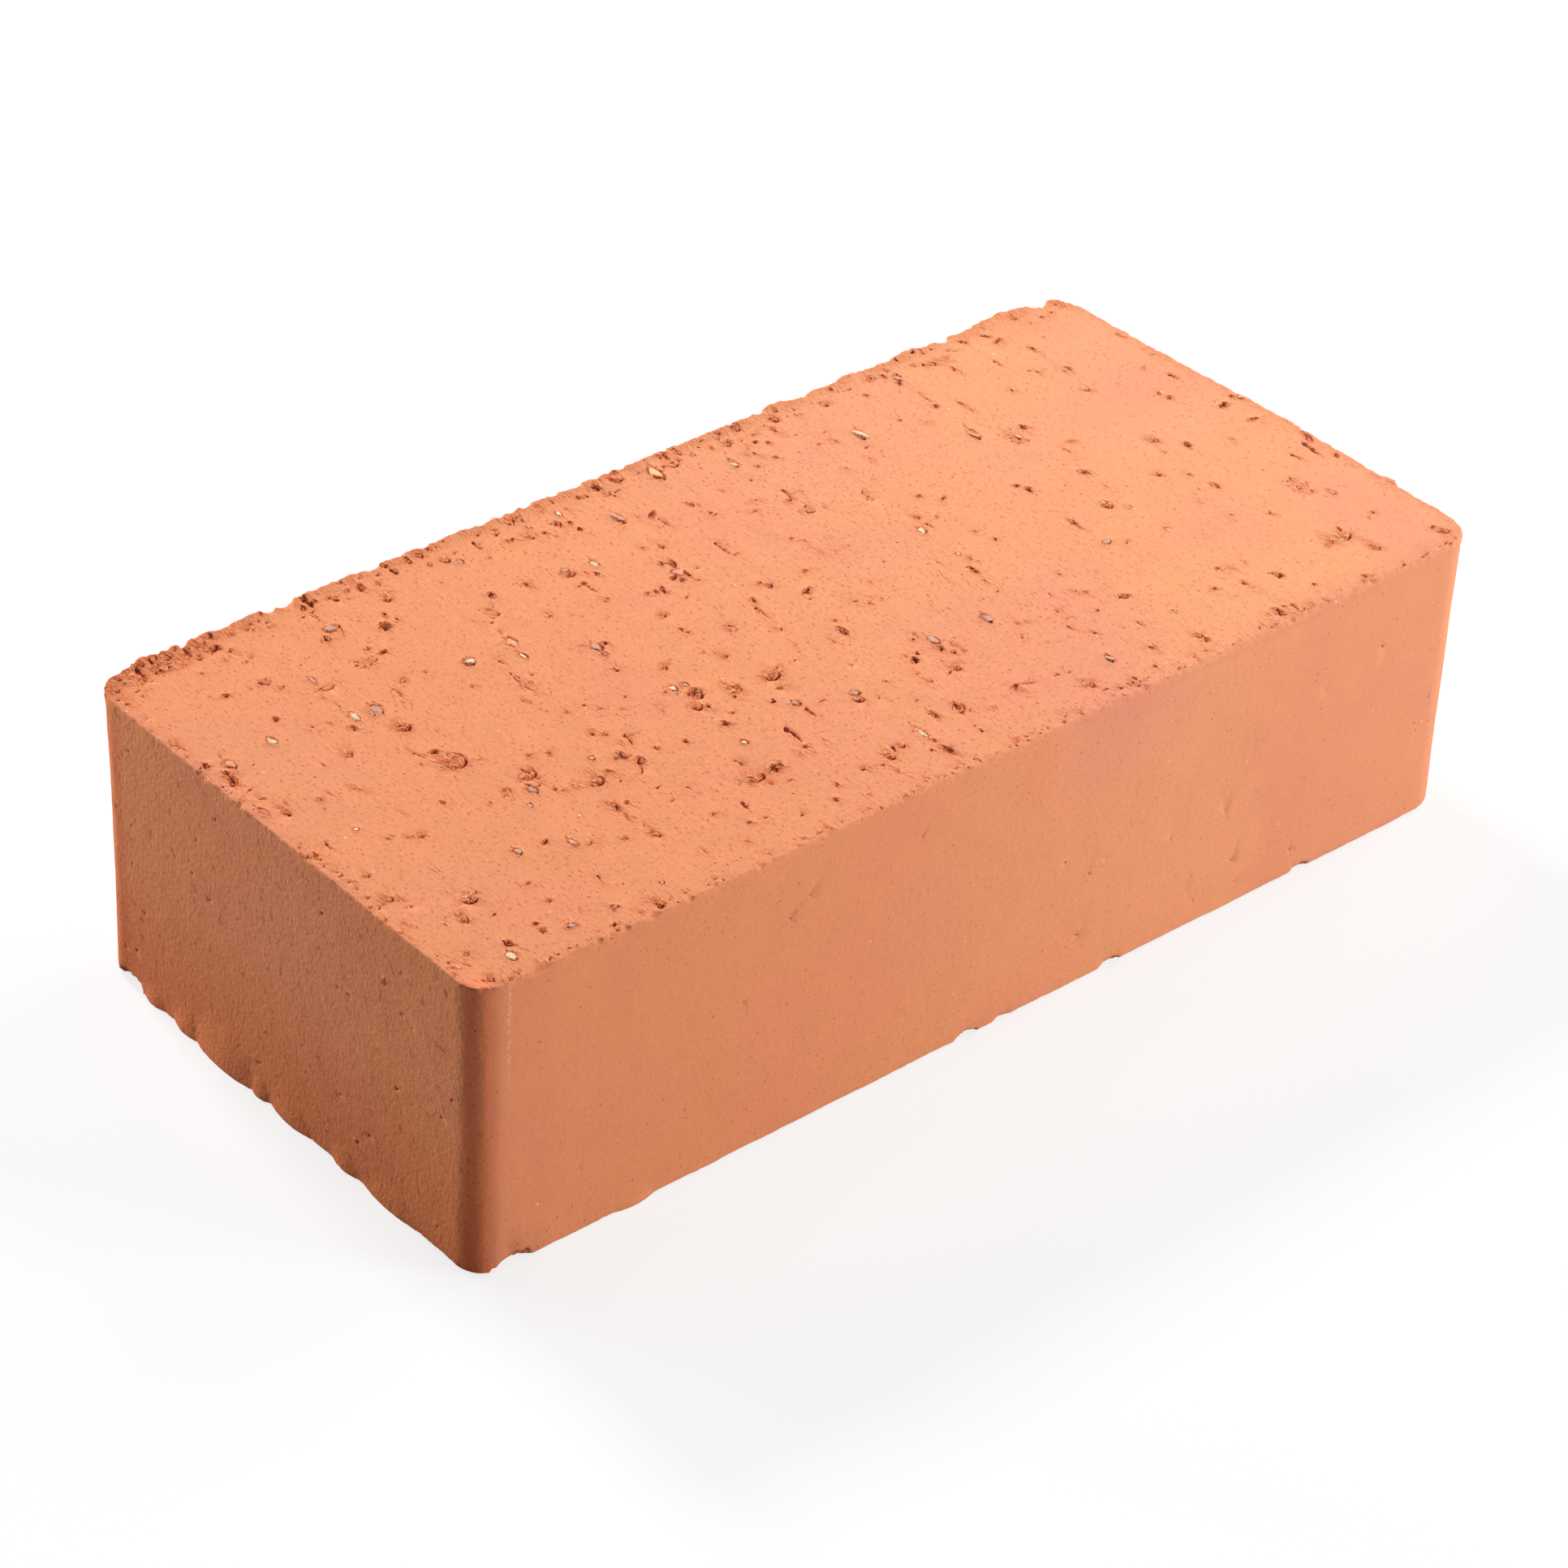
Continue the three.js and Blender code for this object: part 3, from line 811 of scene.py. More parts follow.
PATCHES = (
    bed_patch(Cast.BLUSH, 26, -38, 25, 22, 1.0),
    bed_patch(Cast.BLUSH, 48, 42, 18, 15, 0.6),
    bed_patch(Cast.ASH, 27, 38, 12, 12, 0.5),
    bed_patch(Cast.BLUSH, 6, 42, 14, 15, 0.4),
    bed_patch(Cast.STRAW, 85, 45, 13, 15, 0.8),
    bed_patch(Cast.FLAME, 110, 56, 12, 6, 0.5),
    bed_patch(Cast.ASH, 111, 37, 9, 9, 0.5),
    bed_patch(Cast.BLUSH, 112, 20, 10, 9, 0.7),
    bed_patch(Cast.ASH, 103, 7, 17, 6, 0.5),
    bed_patch(Cast.STRAW, 78, -9, 40, 14, 0.6),
    bed_patch(Cast.STRAW, 78, -43, 23, 15, 1.0),
    bed_patch(Cast.FLAME, 52, -30, 3, 11, 0.35),
    bed_patch(Cast.FLAME, 80, -27, 22, 2.5, 0.3),
    bed_patch(Cast.BLUSH, 111, -42, 8, 17, 0.9),
    # Darker clay by the far left arris, partly painted shade of its crumbs.
    bed_patch(Cast.RAW, -111, 58, 15, 5, 0.4),
    # Painted shade: the right end of the near stretcher drawn darker.
    Patch(Cast.SOFT_SHADE, (115, -60, 32), (52, 4, 60), 1.0),
    # Painted shade: the far left upright corner drawn darker, by this patch and the next.
    Patch(Cast.RAW, (-124, 57, 26), (4, 7, 50), 0.9),
    Patch(Cast.SHADE, (-121.6, 58.8, 30), (3.4, 4.2, 60), 1.0),
    # Painted shade: the far stretcher drawn about a quarter darker, where the key lamp is
    # strongest.
    Patch(Cast.SHADE, (0, 61, 26), (150, 2.5, 37), 1.2),
    # Painted shade: the left header drawn darker.
    Patch(Cast.SOFT_SHADE, (-125, 20, 30), (3, 60, 60), 0.5),
    # Painted light: a lighter, redder strip down the near left upright corner.
    Patch(Cast.PAINTED_LIGHT, (-123.8, -58.2, 30), (2.8, 2.8, 60), 1.2),
    # Painted shade: a darker band on the near stretcher by its left corner.
    Patch(Cast.SOFT_SHADE, (-115, -60, 30), (7, 3, 60), 0.6),
    Patch(Cast.SOFT_SHADE, (-119.6, -60, 30), (2.4, 3, 60), 0.8),
    bed_patch(Cast.ASH, -114, 17, 15, 20, 0.5),
    bed_patch(Cast.ASH, -109, -34, 13, 8, 0.5),
    Patch(Cast.ASH, (30, -60, 57), (20, 3, 11), 0.7),
    Patch(Cast.BLUSH, (34, -60, 57), (16, 3, 9), 0.6),
    Patch(Cast.FLAME, (7.5, -60, 57), (5.5, 3, 7), 0.5),
    Patch(Cast.ASH, (-18, -60, 34), (11, 3, 13), 0.6),
    Patch(Cast.ASH, (-125, -8, 45), (3, 22, 20), 0.4),
    Patch(Cast.BLUSH, (-60, 20, 0), (26, 24, 6), 0.9),
    Patch(Cast.STRAW, (10, -24, 0), (30, 20, 6), 0.7),
    Patch(Cast.ASH, (70, 60, 30), (22, 3, 20), 0.6),
    Patch(Cast.BLUSH, (-40, 60, 40), (26, 3, 18), 0.7),
    Patch(Cast.STRAW, (125, -16, 30), (3, 22, 20), 0.6),
)


@dataclass
class Cells:
    """A closed skin of cells, before its shape.

    Attributes:
        points: N x 3 places on a plain block, in mm.
        loops: the corners of all cells, one cell after another.
        sizes: how many corners each cell has.
    """

    points: Array
    loops: Array
    sizes: Array

    def finer(self, chosen: Array, parts: int = 3) -> "Cells":
        """Divides some of the cells along both directions.

        An edge of a divided cell gets parts - 1 points, shared by the cells on both sides, so
        that a plain neighbour takes them in as corners and the skin stays closed.

        Args:
            chosen: which cells to divide; all cells have four corners.
            parts: how many cells there are along each edge of a divided one.

        Returns:
            The finer cells.
        """
        quads = self.loops.reshape(-1, 4)
        count, inner = len(self.points), parts - 1
        start, end = quads, np.roll(quads, -1, axis=1)
        code = np.minimum(start, end) * count + np.maximum(start, end)
        cut = np.unique(code[chosen])
        at = np.minimum(np.searchsorted(cut, code), len(cut) - 1)
        low, high = self.points[cut // count], self.points[cut % count]
        share = np.arange(1, parts)[:, None] / parts
        between = low[:, None] + (high - low)[:, None] * share
        steps = count + at[..., None] * inner + np.arange(inner)
        steps = np.where((start > end)[..., None], steps[..., ::-1], steps)
        steps = np.where((cut[at] == code)[..., None], steps, -1)
        rings = np.concatenate([quads[..., None], steps], -1)[~chosen].reshape(-1, 4 * parts)

        corners, edges = quads[chosen], steps[chosen]
        first = count + len(cut) * inner
        lattice = np.empty((len(corners), parts + 1, parts + 1), int)
        for number, (i, j) in enumerate(((0, 0), (parts, 0), (parts, parts), (0, parts))):
            lattice[:, i, j] = corners[:, number]
        lattice[:, 1:parts, 0] = edges[:, 0]
        lattice[:, parts, 1:parts] = edges[:, 1]
        lattice[:, 1:parts, parts] = edges[:, 2, ::-1]
        lattice[:, 0, 1:parts] = edges[:, 3, ::-1]
        middles = np.arange(len(corners) * inner**2).reshape(-1, inner, inner)
        lattice[:, 1:parts, 1:parts] = first + middles
        u, v = share[:, 0][:, None, None], share[:, 0][None, :, None]
        a, b, c, d = (self.points[corners[:, k]][:, None, None] for k in range(4))
        middle = (1 - v) * ((1 - u) * a + u * b) + v * (u * c + (1 - u) * d)
        low_side, high_side = lattice[:, :-1], lattice[:, 1:]
        around = (low_side[..., :-1], high_side[..., :-1], high_side[..., 1:], low_side[..., 1:])
        small = np.stack(around, -1).reshape(-1, 4)
        return Cells(
            np.concatenate([self.points, between.reshape(-1, 3), middle.reshape(-1, 3)]),
            np.concatenate([rings[rings >= 0], small.ravel()]),
            np.concatenate([(rings >= 0).sum(1), np.full(len(small), 4)]),
        )


@dataclass
class Skin:
    """The skin of the piece before its relief, with what each point knows of its place.

    Attributes:
        places: N x 3 places in mm.
        outward: N x 3 normals.
        diagonal: N x 3 directions from the piece's inside out through the nearest arris.
        path: distance from the nearest arris along the skin, negative on the bed.
        upper: whether the nearest arris is an upper one.
    """

    places: Array
    outward: Array
    diagonal: Array
    path: Array
    upper: Array


FINE_CELL, COARSE_CELL = 0.54, 0.9
FACING = (0.6, 0.9)  # how squarely the skin faces a side where the side's marks fade in
ARRIS_REACH = 9.0  # how far from an arris clay may be lost, in mm
ROUGH_CHIP, ROUGH_LUMP = 0.5, 0.12  # how ragged the outlines of chips and lumps are
TINY = 1e-9  # keeps a division by a distance of 0 finite


@dataclass
class FiredBrick:
    """The one fired piece: two cut beds, two stretchers and two headers, with worn arrises.

    Attributes:
        length, width, height: its box, in mm.
        corners: radii of the upright corners: near left, near right, far left, far right.
        cell: size of a plain cell.
        tall_cell: height of a plain cell on a face.
        margin: how far round a cut the cells are finer, in cells.
        bands: how far round the far upper arris and round the others they are, in mm.
        lean: how far the right header falls back at its far end.
        roll: mean radius of an arris.
        fringe_far, fringe_near, fringe_right: how ragged the upper arrises are: the far one,
            the near and left ones, and the right one.
        fringe_lower: how ragged a lower arris is, as a share of the upper one.
        burr: how far the far upper arris stands proud.
        clearance: how far the lower bed is drawn in, so that it stands on its high spots.
        quiet: place along X past which fewer marks are strewn on the upper bed.
        triangles: how many triangles the finished mesh has at most.
        upper_marks, lower_marks: marks of the beds.
        panels: the six sides with their marks.
    """

    length: float
    width: float
    height: float
    corners: tuple[float, ...] = (6.0, 8.0, 8.0, 9.0)
    cell: float = FINE_CELL
    tall_cell: float = 0.8
    margin: float = 0.75
    bands: tuple[float, float] = (3.5, 1.5)
    lean: float = 2.6
    roll: float = 0.75
    fringe_far: float = 1.05
    fringe_near: float = 0.42
    fringe_right: float = 0.8
    fringe_lower: float = 0.45
    burr: float = 0.9
    clearance: float = 0.05
    quiet: float = 50.0
    triangles: int = 195_000
    upper_marks: list[Wound] = field(default_factory=list)
    lower_marks: list[Wound] = field(default_factory=list)
    panels: list[Panel] = field(default_factory=list)

    def __post_init__(self) -> None:
        """Lays out the marks of the six sides."""
        x, y = self.length / 2, self.width / 2
        strewn = Scatter(5, tears=150, nicks=50, flaps=60, stones=50, cracks=70, scale=0.85)
        kept = [
            mark
            for number, mark in enumerate(strewn.wounds(x, y))
            if mark.x < self.quiet or number % 3 == 0
        ]
        far = self.strip(Scatter(6, tears=50, flaps=40, cracks=40, scale=0.9), (0, 1), 2.6, 3.4)
        near = self.strip(Scatter(7, tears=60, cracks=60, scale=0.5), (0, -1), 0.9, 1.2)
        left = self.strip(Scatter(9, tears=26, cracks=26, scale=0.5), (-1, 0), 0.9, 1.2)
        self.upper_marks = [*UPPER_WOUNDS, *kept, *far, *near, *left]
        self.lower_marks = Scatter(8, 110, 40, 60, 90, 40, 90).wounds(x, y)
        along, up = (1, 0, 0), (0, 0, 1)
        sides = (
            (up, along, (0, 1, 0), self.upper_marks),
            ((0, 0, -1), along, (0, 1, 0), self.lower_marks),
            ((0, -1, 0), along, up, [*FRONT_MARKS, *self.upright(21, x)]),
            ((0, 1, 0), (-1, 0, 0), up, self.upright(22, x)),
            ((-1, 0, 0), (0, -1, 0), up, [*LEFT_MARKS, *self.upright(23, y)]),
            ((1, 0, 0), (0, 1, 0), up, self.upright(24, y)),
        )
        self.panels = [Panel(*side, seed=61 + 20 * k) for k, side in enumerate(sides)]

    def strip(
        self, scatter: Scatter, side: tuple[int, int], half: float, inset: float
    ) -> list[Wound]:
        """Marks strewn along one arris of the upper bed.

        Args:
            scatter: how many there are.
            side: direction to the arris along X and Y.
            half: half the width of the strip, in mm.
            inset: distance of its middle line from the face.

        Returns:
            The marks.
        """
        (x, y), (to_x, to_y) = (self.length / 2, self.width / 2), side
        halves = (half, y) if to_x else (x, half)
        return [
            replace(mark, x=mark.x + to_x * x - to_x * inset, y=mark.y + to_y * y - to_y * inset)
            for mark in scatter.wounds(*halves, margin=0.0)
        ]

    def upright(self, seed: int, half: float) -> list[Wound]:
        """The few small marks strewn over an upright face, which count from its foot.

        Args:
            seed: starts the run of random numbers.
            half: half the face's length, in mm.

        Returns:
            The marks.
        """
        few = Scatter(seed, tears=16, cracks=14, scale=0.5)
        level = self.height / 2
        return [replace(mark, y=mark.y + level) for mark in few.wounds(half, level, margin=5)]

    def block(self) -> Cells:
        """The plain block as a closed skin of quads.

        Returns:
            The cells.
        """
        spans = zip((self.length, self.width, self.height), (self.cell, self.cell, self.tall_cell))
        xs, ys, zs = (np.linspace(-a / 2, a / 2, round(a / cell) + 1) for a, cell in spans)
        nx, ny, nz = len(xs), len(ys), len(zs)
        beds = nx * ny
        index = np.arange(beds).reshape(nx, ny)
        ring = np.concatenate([index[:-1, 0], index[-1, :-1], index[:0:-1, -1], index[0, :0:-1]])
        around = len(ring)
        plan = np.stack(np.meshgrid(xs, ys, indexing="ij"), -1).reshape(-1, 2)
        rows = [2 * beds + k * around + np.arange(around) for k in range(nz - 2)]
        rows = [ring + beds, *rows, ring]
        walls = [
            np.stack([a, np.roll(a, -1), np.roll(b, -1), b], 1) for a, b in zip(rows, rows[1:])
        ]
        corners = (index[:-1, :-1], index[1:, :-1], index[1:, 1:], index[:-1, 1:])
        bed = np.stack(corners, -1).reshape(-1, 4)
        quads = np.concatenate([bed, bed[:, ::-1] + beds, *walls])
        flat = np.concatenate([plan, plan, np.tile(plan[ring], (nz - 2, 1))])
        levels = np.repeat((zs + self.height / 2)[1:-1], around)
        z = np.concatenate([np.full(beds, self.height), np.zeros(beds), levels])
        return Cells(np.column_stack([flat, z]), quads.ravel(), np.full(len(quads), 4))

    def corner(self, plan: Array) -> Array:
        """Radius of the upright corner nearest to each place, with an axis for its coordinates."""
        number = (plan[..., 0] > 0) + 2 * (plan[..., 1] > 0)
        return np.array(self.corners)[number][..., None]

    def rounded(self, plan: Array) -> Array:
        """Bends the square corners of a plan into round ones.

        In each corner square the greater of the two shares becomes the radius, and the lesser
        over the greater becomes the angle.

        Args:
            plan: places with two coordinates, in mm.

        Returns:
            The bent places.
        """
        corner = self.corner(plan)
        core = np.array([self.length, self.width]) / 2 - corner
        share = np.maximum(np.abs(plan) - core, 0.0) / corner
        u, v = share[..., 0], share[..., 1]
        radius = np.maximum(u, v)
        lesser = np.minimum(u, v) / np.maximum(radius, TINY)
        angle = np.where(u >= v, lesser, 2.0 - lesser) * math.pi / 4
        bent = corner * radius[..., None] * np.stack([np.cos(angle), np.sin(angle)], -1)
        return np.sign(plan) * np.where(share > 0, core + bent, np.abs(plan))

    def inset(self, plan: Array) -> tuple[Array, Array]:
        """Distance in from the outline, and the direction to it, as a rounded rectangle has them.

        Args:
            plan: N x 2 places in mm.

        Returns:
            N distances and N x 2 directions.
        """
        corner = self.corner(plan)
        over = np.abs(plan) + corner - np.array([self.length, self.width]) / 2
        in_corner = (over > 0).all(1)
        reach = np.linalg.norm(np.maximum(over, 0.0), axis=1)
        on_header = (over[:, 0] > over[:, 1]).astype(float)
        flat = np.stack([on_header, 1.0 - on_header], 1)
        turned = over / np.maximum(reach, TINY)[:, None]
        distance = corner[:, 0] - np.where(in_corner, reach, over.max(1))
        return distance, np.where(in_corner[:, None], turned, flat) * np.where(plan < 0, -1.0, 1.0)

    def skin(self, points: Array) -> Skin:
        """Bends the block's corners round and rolls its arrises.

        An arris is a quarter circle: with f the share of the way across it and r its radius,
        the skin lies r(1 - sin f) inside the face and r(1 - cos f) below the bed.

        Args:
            points: N x 3 places on the plain block, in mm.

        Returns:
            The skin.
        """
        plan, z = self.rounded(points[:, :2]), points[:, 2]
        distance, side = self.inset(plan)
        upper = z > self.height / 2
        path = np.where(upper, self.height - z, z) - np.maximum(distance, 0.0)
        up = np.where(upper, 1.0, -1.0)
        side3 = np.column_stack([side, np.zeros(len(z))])
        up3 = np.column_stack([np.zeros((len(z), 2)), up])
        outline = np.column_stack([plan + side * np.maximum(-path, 0.0)[:, None], np.zeros(len(z))])
        drift = grain_noise(np.column_stack([outline[:, :2], z + 5 * up]), 9.0, 3)
        near_or_left = upper & (side.min(1) < -0.5)
        crisp = np.where(near_or_left, 0.4 + 0.6 * smooth(plan[:, 0], 20.0, 90.0), 1.0)
        radius = self.roll * crisp * (1.0 + 0.35 * drift)
        turn = np.clip((path + radius) / (2 * radius), 0.0, 1.0) * math.pi / 2
        inside = np.where(path < -radius, -path, radius * (1 - np.sin(turn)))
        depth = np.where(path > radius, path, radius * (1 - np.cos(turn)))
        places = outline - side3 * inside[:, None]
        places[:, 2] = np.where(upper, self.height - depth, depth)
        outward = side3 * np.sin(turn)[:, None] + up3 * np.cos(turn)[:, None]
        return Skin(places, outward, (side3 + up3) / math.sqrt(2), path, upper)

    def busy(self, skin: Skin) -> Array:
        """Which points need finer cells: those near a cut or an upper arris.

        Args:
            skin: the skin of the piece.

        Returns:
            N answers.
        """
        far = skin.upper & (skin.diagonal[:, 1] > 0.3)
        seen = skin.upper | (skin.outward[:, 1] < 0.5)
        close = (np.abs(skin.path) < np.where(far, *self.bands)) & seen
        for panel in self.panels:
            on = np.flatnonzero(skin.outward @ panel.outward > 0.8)
            close[on] |= panel.busy(skin.places[on], self.margin * self.cell)
        return close

    def lost(self, skin: Skin) -> Array:
        """Clay that the arrises have lost along their diagonals: the bites, and a ragged fringe.

        A bite falls off as a power of 1 - t^2 along the arris and across it, and the fringe is
        the upper part of three noises, stronger on the far side.

        Args:
            skin: the skin of the piece.

        Returns:
            N depths in mm.
        """
        near = np.flatnonzero(np.abs(skin.path) < ARRIS_REACH)
        places, path = skin.places[near], skin.path[near]
        wavy = layered(places, (0.55, 1.9, 31), (0.3, 0.8, 35))
        bitten = np.zeros(len(near))
        for bite in BITES:
            away = places - (bite.x, bite.y, bite.z)
            in_reach = np.flatnonzero((np.abs(away) < bite.reach + bite.fall + 1.0).all(1))
            along = np.hypot(away[in_reach, 0], away[in_reach, 1]) / bite.reach
            ragged = ROUGH_CHIP if bite.depth > 0 else ROUGH_LUMP
            t = np.hypot(along, path[in_reach] / bite.fall) * (1.0 + ragged * wavy[in_reach])
            loss = bite.depth * np.clip(1.0 - t * t, 0.0, 1.0) ** bite.ease
            deeper = np.abs(loss) > np.abs(bitten[in_reach])
            bitten[in_reach] = np.where(deeper, loss, bitten[in_reach])
        sharp = np.maximum(grain_noise(places, 1.0, 32) - 0.05, 0.0)
        middling = np.maximum(grain_noise(places, 2.3, 36), 0.0)
        blunt = np.maximum(grain_noise(places, 4.6, 33), 0.0)
        band = ridge(path + 0.45 * grain_noise(places, 1.4, 34), 0.1, 0.75)
        fringe = (0.55 * sharp + 0.45 * middling + 0.55 * blunt) * band
        along_x, along_y, _ = skin.outward[near].T
        near_or_left = (along_y < -0.3) | (along_x < 0)
        upper_arris = np.where(near_or_left, self.fringe_near, self.fringe_right)
        strength = np.where(along_y > 0.3, self.fringe_far, upper_arris)
        strength = strength * np.where(skin.upper[near], 1.0, self.fringe_lower)
        proud = self.burr * smooth(skin.diagonal[near, 1], 0.1, 0.6)
        burr = np.where(skin.upper[near] & (along_y > -0.3), proud, 0.0)
        lost = np.zeros(len(skin.path))
        lost[near] = bitten + strength * fringe - burr * ridge(path, 0.0, 2.0)
        return lost

    def out_of_square(self, places: Array) -> Array:
        """How far the right header falls back along X, easing in over the far half."""
        far = smooth(places[:, 1], -8.0, 44.0) * smooth(places[:, 0], 60.0, self.length / 2)
        return -self.lean * far * (0.65 + 0.35 * places[:, 2] / self.height)

    def frayed(self, skin: Skin) -> Array:
        """How crumbly each place is: a ragged band along the far upper arris, weaker on the right.

        Args:
            skin: the skin of the piece.

        Returns:
            N shares from 0 to 1.
        """
        band = smooth(skin.path, -4.5, -0.8) * smooth(skin.path, 3.0, 0.6) * skin.upper
        left = smooth(skin.places[:, 0], -82.0, -106.0)
        to_right, to_far, _ = skin.diagonal.T
        side = (0.6 + 0.4 * left) * smooth(to_far, 0.1, 0.6) + 0.5 * smooth(to_right, 0.3, 0.6)
        wide = layered(skin.places, (0.5, 6.0, 81), (0.4, 1.9, 82))
        return np.minimum(side, 1.0) * smooth(band + wide, 0.3, 1.0)

    def bed_relief(self, places: Array) -> Array:
        """Height of a bed without its marks.

        The swells are a slow noise, the drag streaks two noises drawn out along Y, and the
        ripples a finer noise that comes and goes in patches.

        Args:
            places: N x 3 places in mm.

        Returns:
            N heights in mm.
        """
        swells = 0.16 * grain_noise(places, 24.0, 61)
        streaks = 0.012 * layered(places, (1.0, (1.3, 18.0, 8.0), 62), (1.0, (3.6, 30.0, 8.0), 63))
        patch = 0.4 + 0.6 * smooth(grain_noise(places, 11.0, 64), -0.1, 0.6)
        ripples = layered(places, (0.03, (2.4, 3.6, 2.4), 65), (0.015, 1.3, 66))
        return swells + streaks + patch * ripples

    def face_relief(self, skin: Skin) -> Array:
        """Relief of the stretchers and headers, where the clay slid along the die.

        Slow waves, a slight hollow, fine grain drawn out along the die, dents on the headers,
        and the burr that the wire left under the near upper arris: a low band over a groove.

        Args:
            skin: the skin of the piece.

        Returns:
            N heights in mm.
        """
        places = skin.places
        header = skin.outward[:, 0] ** 2
        waves = layered(places, (0.16, 46.0, 41), (0.05, 13.0, 42))
        drawn = 0.012 * grain_noise(places, (2.2, 2.2, 16.0), 43)
        dents = layered(places, (1.0, 4.6, 45), (0.9, 2.5, 46), (0.6, 1.3, 49))
        near = skin.upper & (skin.outward[:, 1] < -0.5)
        stretch = 0.35 + 0.65 * smooth(places[:, 0], 20.0, 70.0)
        below = skin.path + 0.35 * grain_noise(places, 3.0, 47)
        crumbly = 0.7 + 0.9 * np.maximum(grain_noise(places, 1.1, 48), 0.0)
        burr = 0.2 * ridge(below, 1.1, 0.9) * crumbly - 0.1 * ridge(below, 3.2, 0.8)
        hollow = -0.25 * smooth(skin.path, 1.0, 22.0)
        dented = waves + drawn + (0.004 + 0.055 * header) * dents
        return dented + np.where(near, burr * stretch, 0.0) + hollow

    def tone(self, skin: Skin) -> Array:
        """What the fired colour is multiplied by.

        The patches, among them painted shade and painted light, slow drifts, painted shade that
        darkens the headers towards their foot, the darker clay of the crumbly arrises, partly
        painted shade, and a faint mottle.

        Args:
            skin: the skin of the piece.

        Returns:
            N x 3 factors.
        """
        places = skin.places
        edge = layered(places, (0.22, 9.0, 71), (0.1, 3.5, 72))
        tone = np.ones((len(places), 3))
        shares = [(patch.cast, 0.75 * patch.share(places, edge)) for patch in PATCHES]
        shares.append((Cast.BLUSH, 0.55 * smooth(grain_noise(places, 26.0, 73), -0.1, 0.7)))
        shares.append((Cast.STRAW, 0.5 * smooth(grain_noise(places, 22.0, 74), -0.1, 0.7)))
        # Painted shade: the headers drawn darker towards their foot.
        foot = smooth(places[:, 2], 40.0, 4.0) * skin.outward[:, 0] ** 2
        shares.append((Cast.FOOT_SHADE, foot))
        # Darker clay in the crumbly band, partly painted shade of its crumbs.
        shares.append((Cast.RAW, self.frayed(skin) * (0.25 + 0.4 * grain_noise(places, 1.6, 85))))
        for cast, share in shares:
            tone *= 1.0 + share[:, None] * (np.array(cast.value) - 1.0)
        mottle = 1.0 + 0.035 * grain_noise(places, 6.5, 75) + 0.015 * grain_noise(places, 2.8, 76)
        return tone * mottle[:, None]

    def build(self) -> bpy.types.Object:
        """The finished piece: skin, relief and wear, thinned where it is plain.

        Returns:
            The object, with its attributes torn, sore, bed, header, worn and tone.
        """
        cells = self.block()
        needed = self.busy(self.skin(cells.points))
        cells = cells.finer(needed[cells.loops.reshape(-1, 4)].any(1))
        skin = self.skin(cells.points)
        bed = smooth(-skin.path, -self.roll, self.roll)
        height = bed * self.bed_relief(skin.places) + (1.0 - bed) * self.face_relief(skin)
        frayed = self.frayed(skin)
        height += frayed * layered(skin.places, (0.12, 0.9, 83), (0.35, 2.2, 84))
        torn, sore = np.zeros((2, len(height)))
        for panel in self.panels:
            facing = skin.outward @ panel.outward
            on = np.flatnonzero(facing > FACING[0])
            fade = smooth(facing[on], *FACING)
            cut, open_share, sore_share = panel.carve(skin.places[on])
            height[on] += fade * cut
            torn[on] = fade * open_share
            sore[on] = fade * sore_share
        sore = np.maximum(sore, 0.7 * frayed)
        under = skin.outward[:, 2] < -0.5
        height = np.where(under, np.minimum(height - self.clearance, 0.0), height)
        lost = self.lost(skin)
        places = skin.places + skin.outward * height[:, None] - skin.diagonal * lost[:, None]
        places[:, 0] += self.out_of_square(skin.places)
        places[:, 2] = np.maximum(places[:, 2], 0.0)
        LOG.info("brick: %d grid points", len(places))
        brick = mesh_object("fired_brick", places, cells.loops, cells.sizes)
        header = skin.outward[:, 0] ** 2 * (1.0 - bed)
        worn = smooth(lost, 0.08, 0.6)
        masks = {"torn": torn, "sore": sore, "bed": bed, "worn": worn, "header": header}
        for name, values in {**masks, "tone": self.tone(skin)}.items():
            add_values(brick, name, values)
        thin_out(brick, self.triangles)
        return brick


def mesh_object(
    name: str, places: Array, loops: Array, sizes: Array, rounded: bool = True
) -> bpy.types.Object:
    """An object at the origin, its place in its mesh.

    Args:
        name: name of the object and the mesh.
        places: N x 3 places in mm.
        loops: the corners of all faces, counter-clockwise from outside, one face after another.
        sizes: how many corners each face has.
        rounded: whether it is shaded smooth.

    Returns:
        The object, linked to the scene.
    """
    mesh = bpy.data.meshes.new(name)
    mesh.vertices.add(len(places))
    mesh.vertices.foreach_set("co", (places * MM).astype(np.float32).ravel())
    mesh.loops.add(len(loops))
    mesh.loops.foreach_set("vertex_index", loops.astype(np.int32))
    mesh.polygons.add(len(sizes))
    mesh.polygons.foreach_set("loop_start", (np.cumsum(sizes) - sizes).astype(np.int32))
    mesh.polygons.foreach_set("use_smooth", np.full(len(sizes), rounded))
    mesh.update(calc_edges=True)
    mesh.validate()
    piece = bpy.data.objects.new(name, mesh)
    bpy.context.scene.collection.objects.link(piece)
    return piece


def add_values(piece: bpy.types.Object, name: str, values: Array) -> None:
    """Gives each vertex a value or a colour under that name.

    Args:
        piece: the mesh object.
        name: name that the materials read.
        values: N values, or N x 3 linear colours.
    """
    if values.ndim == 1:
        kind, label, flat = "FLOAT", "value", values
    else:
        kind, label, flat = "FLOAT_COLOR", "color", np.column_stack([values, np.ones(len(values))])
    wanted = piece.data.attributes.new(name, kind, "POINT")
    wanted.data.foreach_set(label, flat.astype(np.float32).ravel())


def triangle_count(mesh: bpy.types.Mesh) -> int:
    """How many triangles a mesh has once its faces are cut into them."""
    return len(mesh.loops) - 2 * len(mesh.polygons)


